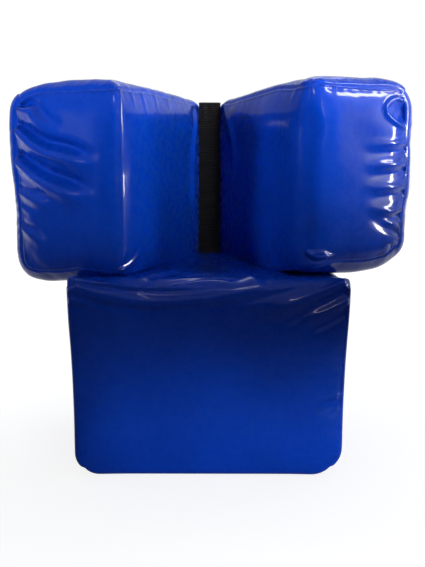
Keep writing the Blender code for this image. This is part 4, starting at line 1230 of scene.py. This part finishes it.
# Each lamp's name, place, aim, size, watts, colour, spread in degrees, kind and turn in degrees. A kind says
# whether it lights surfaces and whether it shows in gloss.
DAY, ROSE, COOL = (1.0, 0.99, 0.98), (1.0, 0.93, 0.96), (0.96, 0.97, 1.0)
FILL, BOTH, GLINT = (True, False), (True, True), (False, True)
LAMPS = (
    ("key_lamp", (0.72, -1.50, 1.15), (0.0, 0.0, 1.03), (0.5, 0.3), 2.8, DAY, 45, FILL, 0),
    ("left_lamp", (-1.50, -0.90, 1.00), (-0.30, 0.0, 0.84), (0.4, 0.4), 1.15, DAY, 38, FILL, 0),
    ("right_lamp", (1.50, -0.50, 1.00), (0.30, 0.0, 0.82), (0.4, 0.4), 1.2, DAY, 38, FILL, 0),
    ("low_lamp", (0.90, -1.35, 0.15), (0.14, -0.22, 0.07), (0.8, 0.15), 0.74, DAY, 25, FILL, 0),
    ("top_lamp", (0.20, 1.20, 2.40), (0, 0.1, 0.8), (1.4, 0.7), 8, (0.95, 0.97, 1.0), 180, BOTH, 0),
    ("glint_lamp", (1.41, -0.36, 1.66), (0.38, -0.1, 0.82), (0.57, 0.14), 9.2, (1, 1, 1), 180, GLINT, -24),
    ("drape_lamp", (-0.42, -1.45, 1.75), (-0.08, -0.23, 0.39), (0.5, 0.12), 2.3, ROSE, 180, GLINT, 0),
    ("strip_lamp", (3.77, -0.74, 1.62), (-0.19, -0.18, 0.8), (0.35, 1.75), 140, COOL, 180, GLINT, 0))


def add_camera():
    """The photograph's viewpoint, from a fit to the bag's outline and seams."""
    focal, image_width, pitch, yaw, roll = 651.42, 567, 8.9496, 0.1842, 0.2067
    turn, dip, lean = (math.radians(v) for v in (yaw, pitch, roll))
    ahead = Vector((math.sin(turn) * math.cos(dip), math.cos(turn) * math.cos(dip), -math.sin(dip)))
    right = Vector((math.cos(turn), -math.sin(turn), 0))
    up = right.cross(ahead)
    right_leaned = right * math.cos(lean) + up * math.sin(lean)
    up_leaned = up * math.cos(lean) - right * math.sin(lean)
    data = bpy.data.cameras.new("camera")
    data.sensor_width = 36.0
    data.lens = focal * data.sensor_width / image_width
    camera = bpy.data.objects.new("camera", data)
    bpy.context.scene.collection.objects.link(camera)
    axes = Matrix((right_leaned, up_leaned, -ahead)).transposed()
    camera.matrix_world = Matrix.Translation((0.0035, -1.5953, 0.6519)) @ axes.to_4x4()
    bpy.context.scene.camera = camera


def add_lamp(name, place, aim, size, power, colour, spread, kind, turn):
    """A soft rectangular lamp aimed at a point: a fill without gloss, or a glint in gloss alone."""
    data = bpy.data.lights.new(name, "AREA")
    data.shape = "RECTANGLE"
    data.size, data.size_y = size
    data.energy = power
    data.spread = math.radians(spread)
    data.color = colour
    lamp = bpy.data.objects.new(name, data)
    bpy.context.scene.collection.objects.link(lamp)
    lamp.visible_diffuse, lamp.visible_glossy = kind
    lamp.location = place
    facing = (Vector(aim) - Vector(place)).to_track_quat("-Z", "Y").to_matrix()
    lamp.rotation_euler = (facing @ Matrix.Rotation(math.radians(turn), 3, "Z")).to_euler()


def mirrored_rays(tree, path):
    """1 for a ray that is mirrored or passes through something."""
    return maths(tree, "ADD", path.outputs["Is Glossy Ray"], path.outputs["Is Transmission Ray"])


def add_floor():
    """A pale floor that glows to the camera and, behind the bag, to mirrored light."""
    mesh = bpy.data.meshes.new("floor")
    mesh.from_pydata([(-8, -8, 0), (8, -8, 0), (8, 8, 0), (-8, 8, 0)], [], [(0, 1, 2, 3)])
    floor = bpy.data.objects.new("floor", mesh)
    bpy.context.scene.collection.objects.link(floor)
    material, tree, shader = principled("pale_floor")
    path = node(tree, "ShaderNodeLightPath")
    place = node(tree, "ShaderNodeTexCoord").outputs["Object"]
    reach = node(tree, "ShaderNodeVectorMath", {0: place}, operation="LENGTH")
    _, depth, _ = parted(tree, place)
    mirrored = product(tree, mirrored_rays(tree, path), ramp(tree, depth, -0.25, 0.45))
    seen = maths(tree, "MAXIMUM", path.outputs["Is Camera Ray"], mirrored)
    glow = ramp(tree, reach.outputs["Value"], 0.3, 1.3, 0.84, 1.0)
    feed(shader, {
        "Base Color": (0.38, 0.38, 0.38, 1), "Roughness": 0.9, "Specular IOR Level": 0.0,
        "Emission Color": (1, 1, 1, 1), "Emission Strength": product(tree, seen, glow)})
    mesh.materials.append(material)


def add_world():
    """A world that is white to the camera and a soft sky to everything else."""
    world = bpy.data.worlds.new("studio")
    bpy.context.scene.world = world
    world.use_nodes = True
    tree = world.node_tree
    tree.nodes.clear()
    x, y, z = parted(tree, node(tree, "ShaderNodeTexCoord").outputs["Generated"])
    rightwards = ramp(tree, x, -0.9, 0.8, 0.35, 1.0)
    level = product(tree, ramp(tree, z, 0.16, 0.24), rightwards, ramp(tree, y, -0.7, 0.3, 0.13, 1.0), 0.50)
    level = maths(tree, "ADD", level, 0.022)
    path = node(tree, "ShaderNodeLightPath")
    around = maths(tree, "MAXIMUM", ramp(tree, y, 0.0, 0.3), ramp(tree, z, 0.22, 0.42, 0.0, 0.6))
    backdrop = product(tree, mirrored_rays(tree, path), rightwards, around)
    level = maths(tree, "MAXIMUM", level, backdrop)
    soft = node(tree, "ShaderNodeBackground", {0: (0.90, 0.94, 1.0, 1), 1: level}).outputs[0]
    white = node(tree, "ShaderNodeBackground", {0: (1, 1, 1, 1), 1: 1.0}).outputs[0]
    both = node(tree, "ShaderNodeMixShader", {0: path.outputs["Is Camera Ray"], 1: soft, 2: white})
    node(tree, "ShaderNodeOutputWorld", {0: both.outputs[0]})


def add_stage():
    """The floor, the world and the lamps."""
    add_floor()
    add_world()
    for lamp in LAMPS:
        add_lamp(*lamp)


main()
add_camera()
add_stage()
scene = bpy.context.scene
scene.view_settings.view_transform = "Standard"
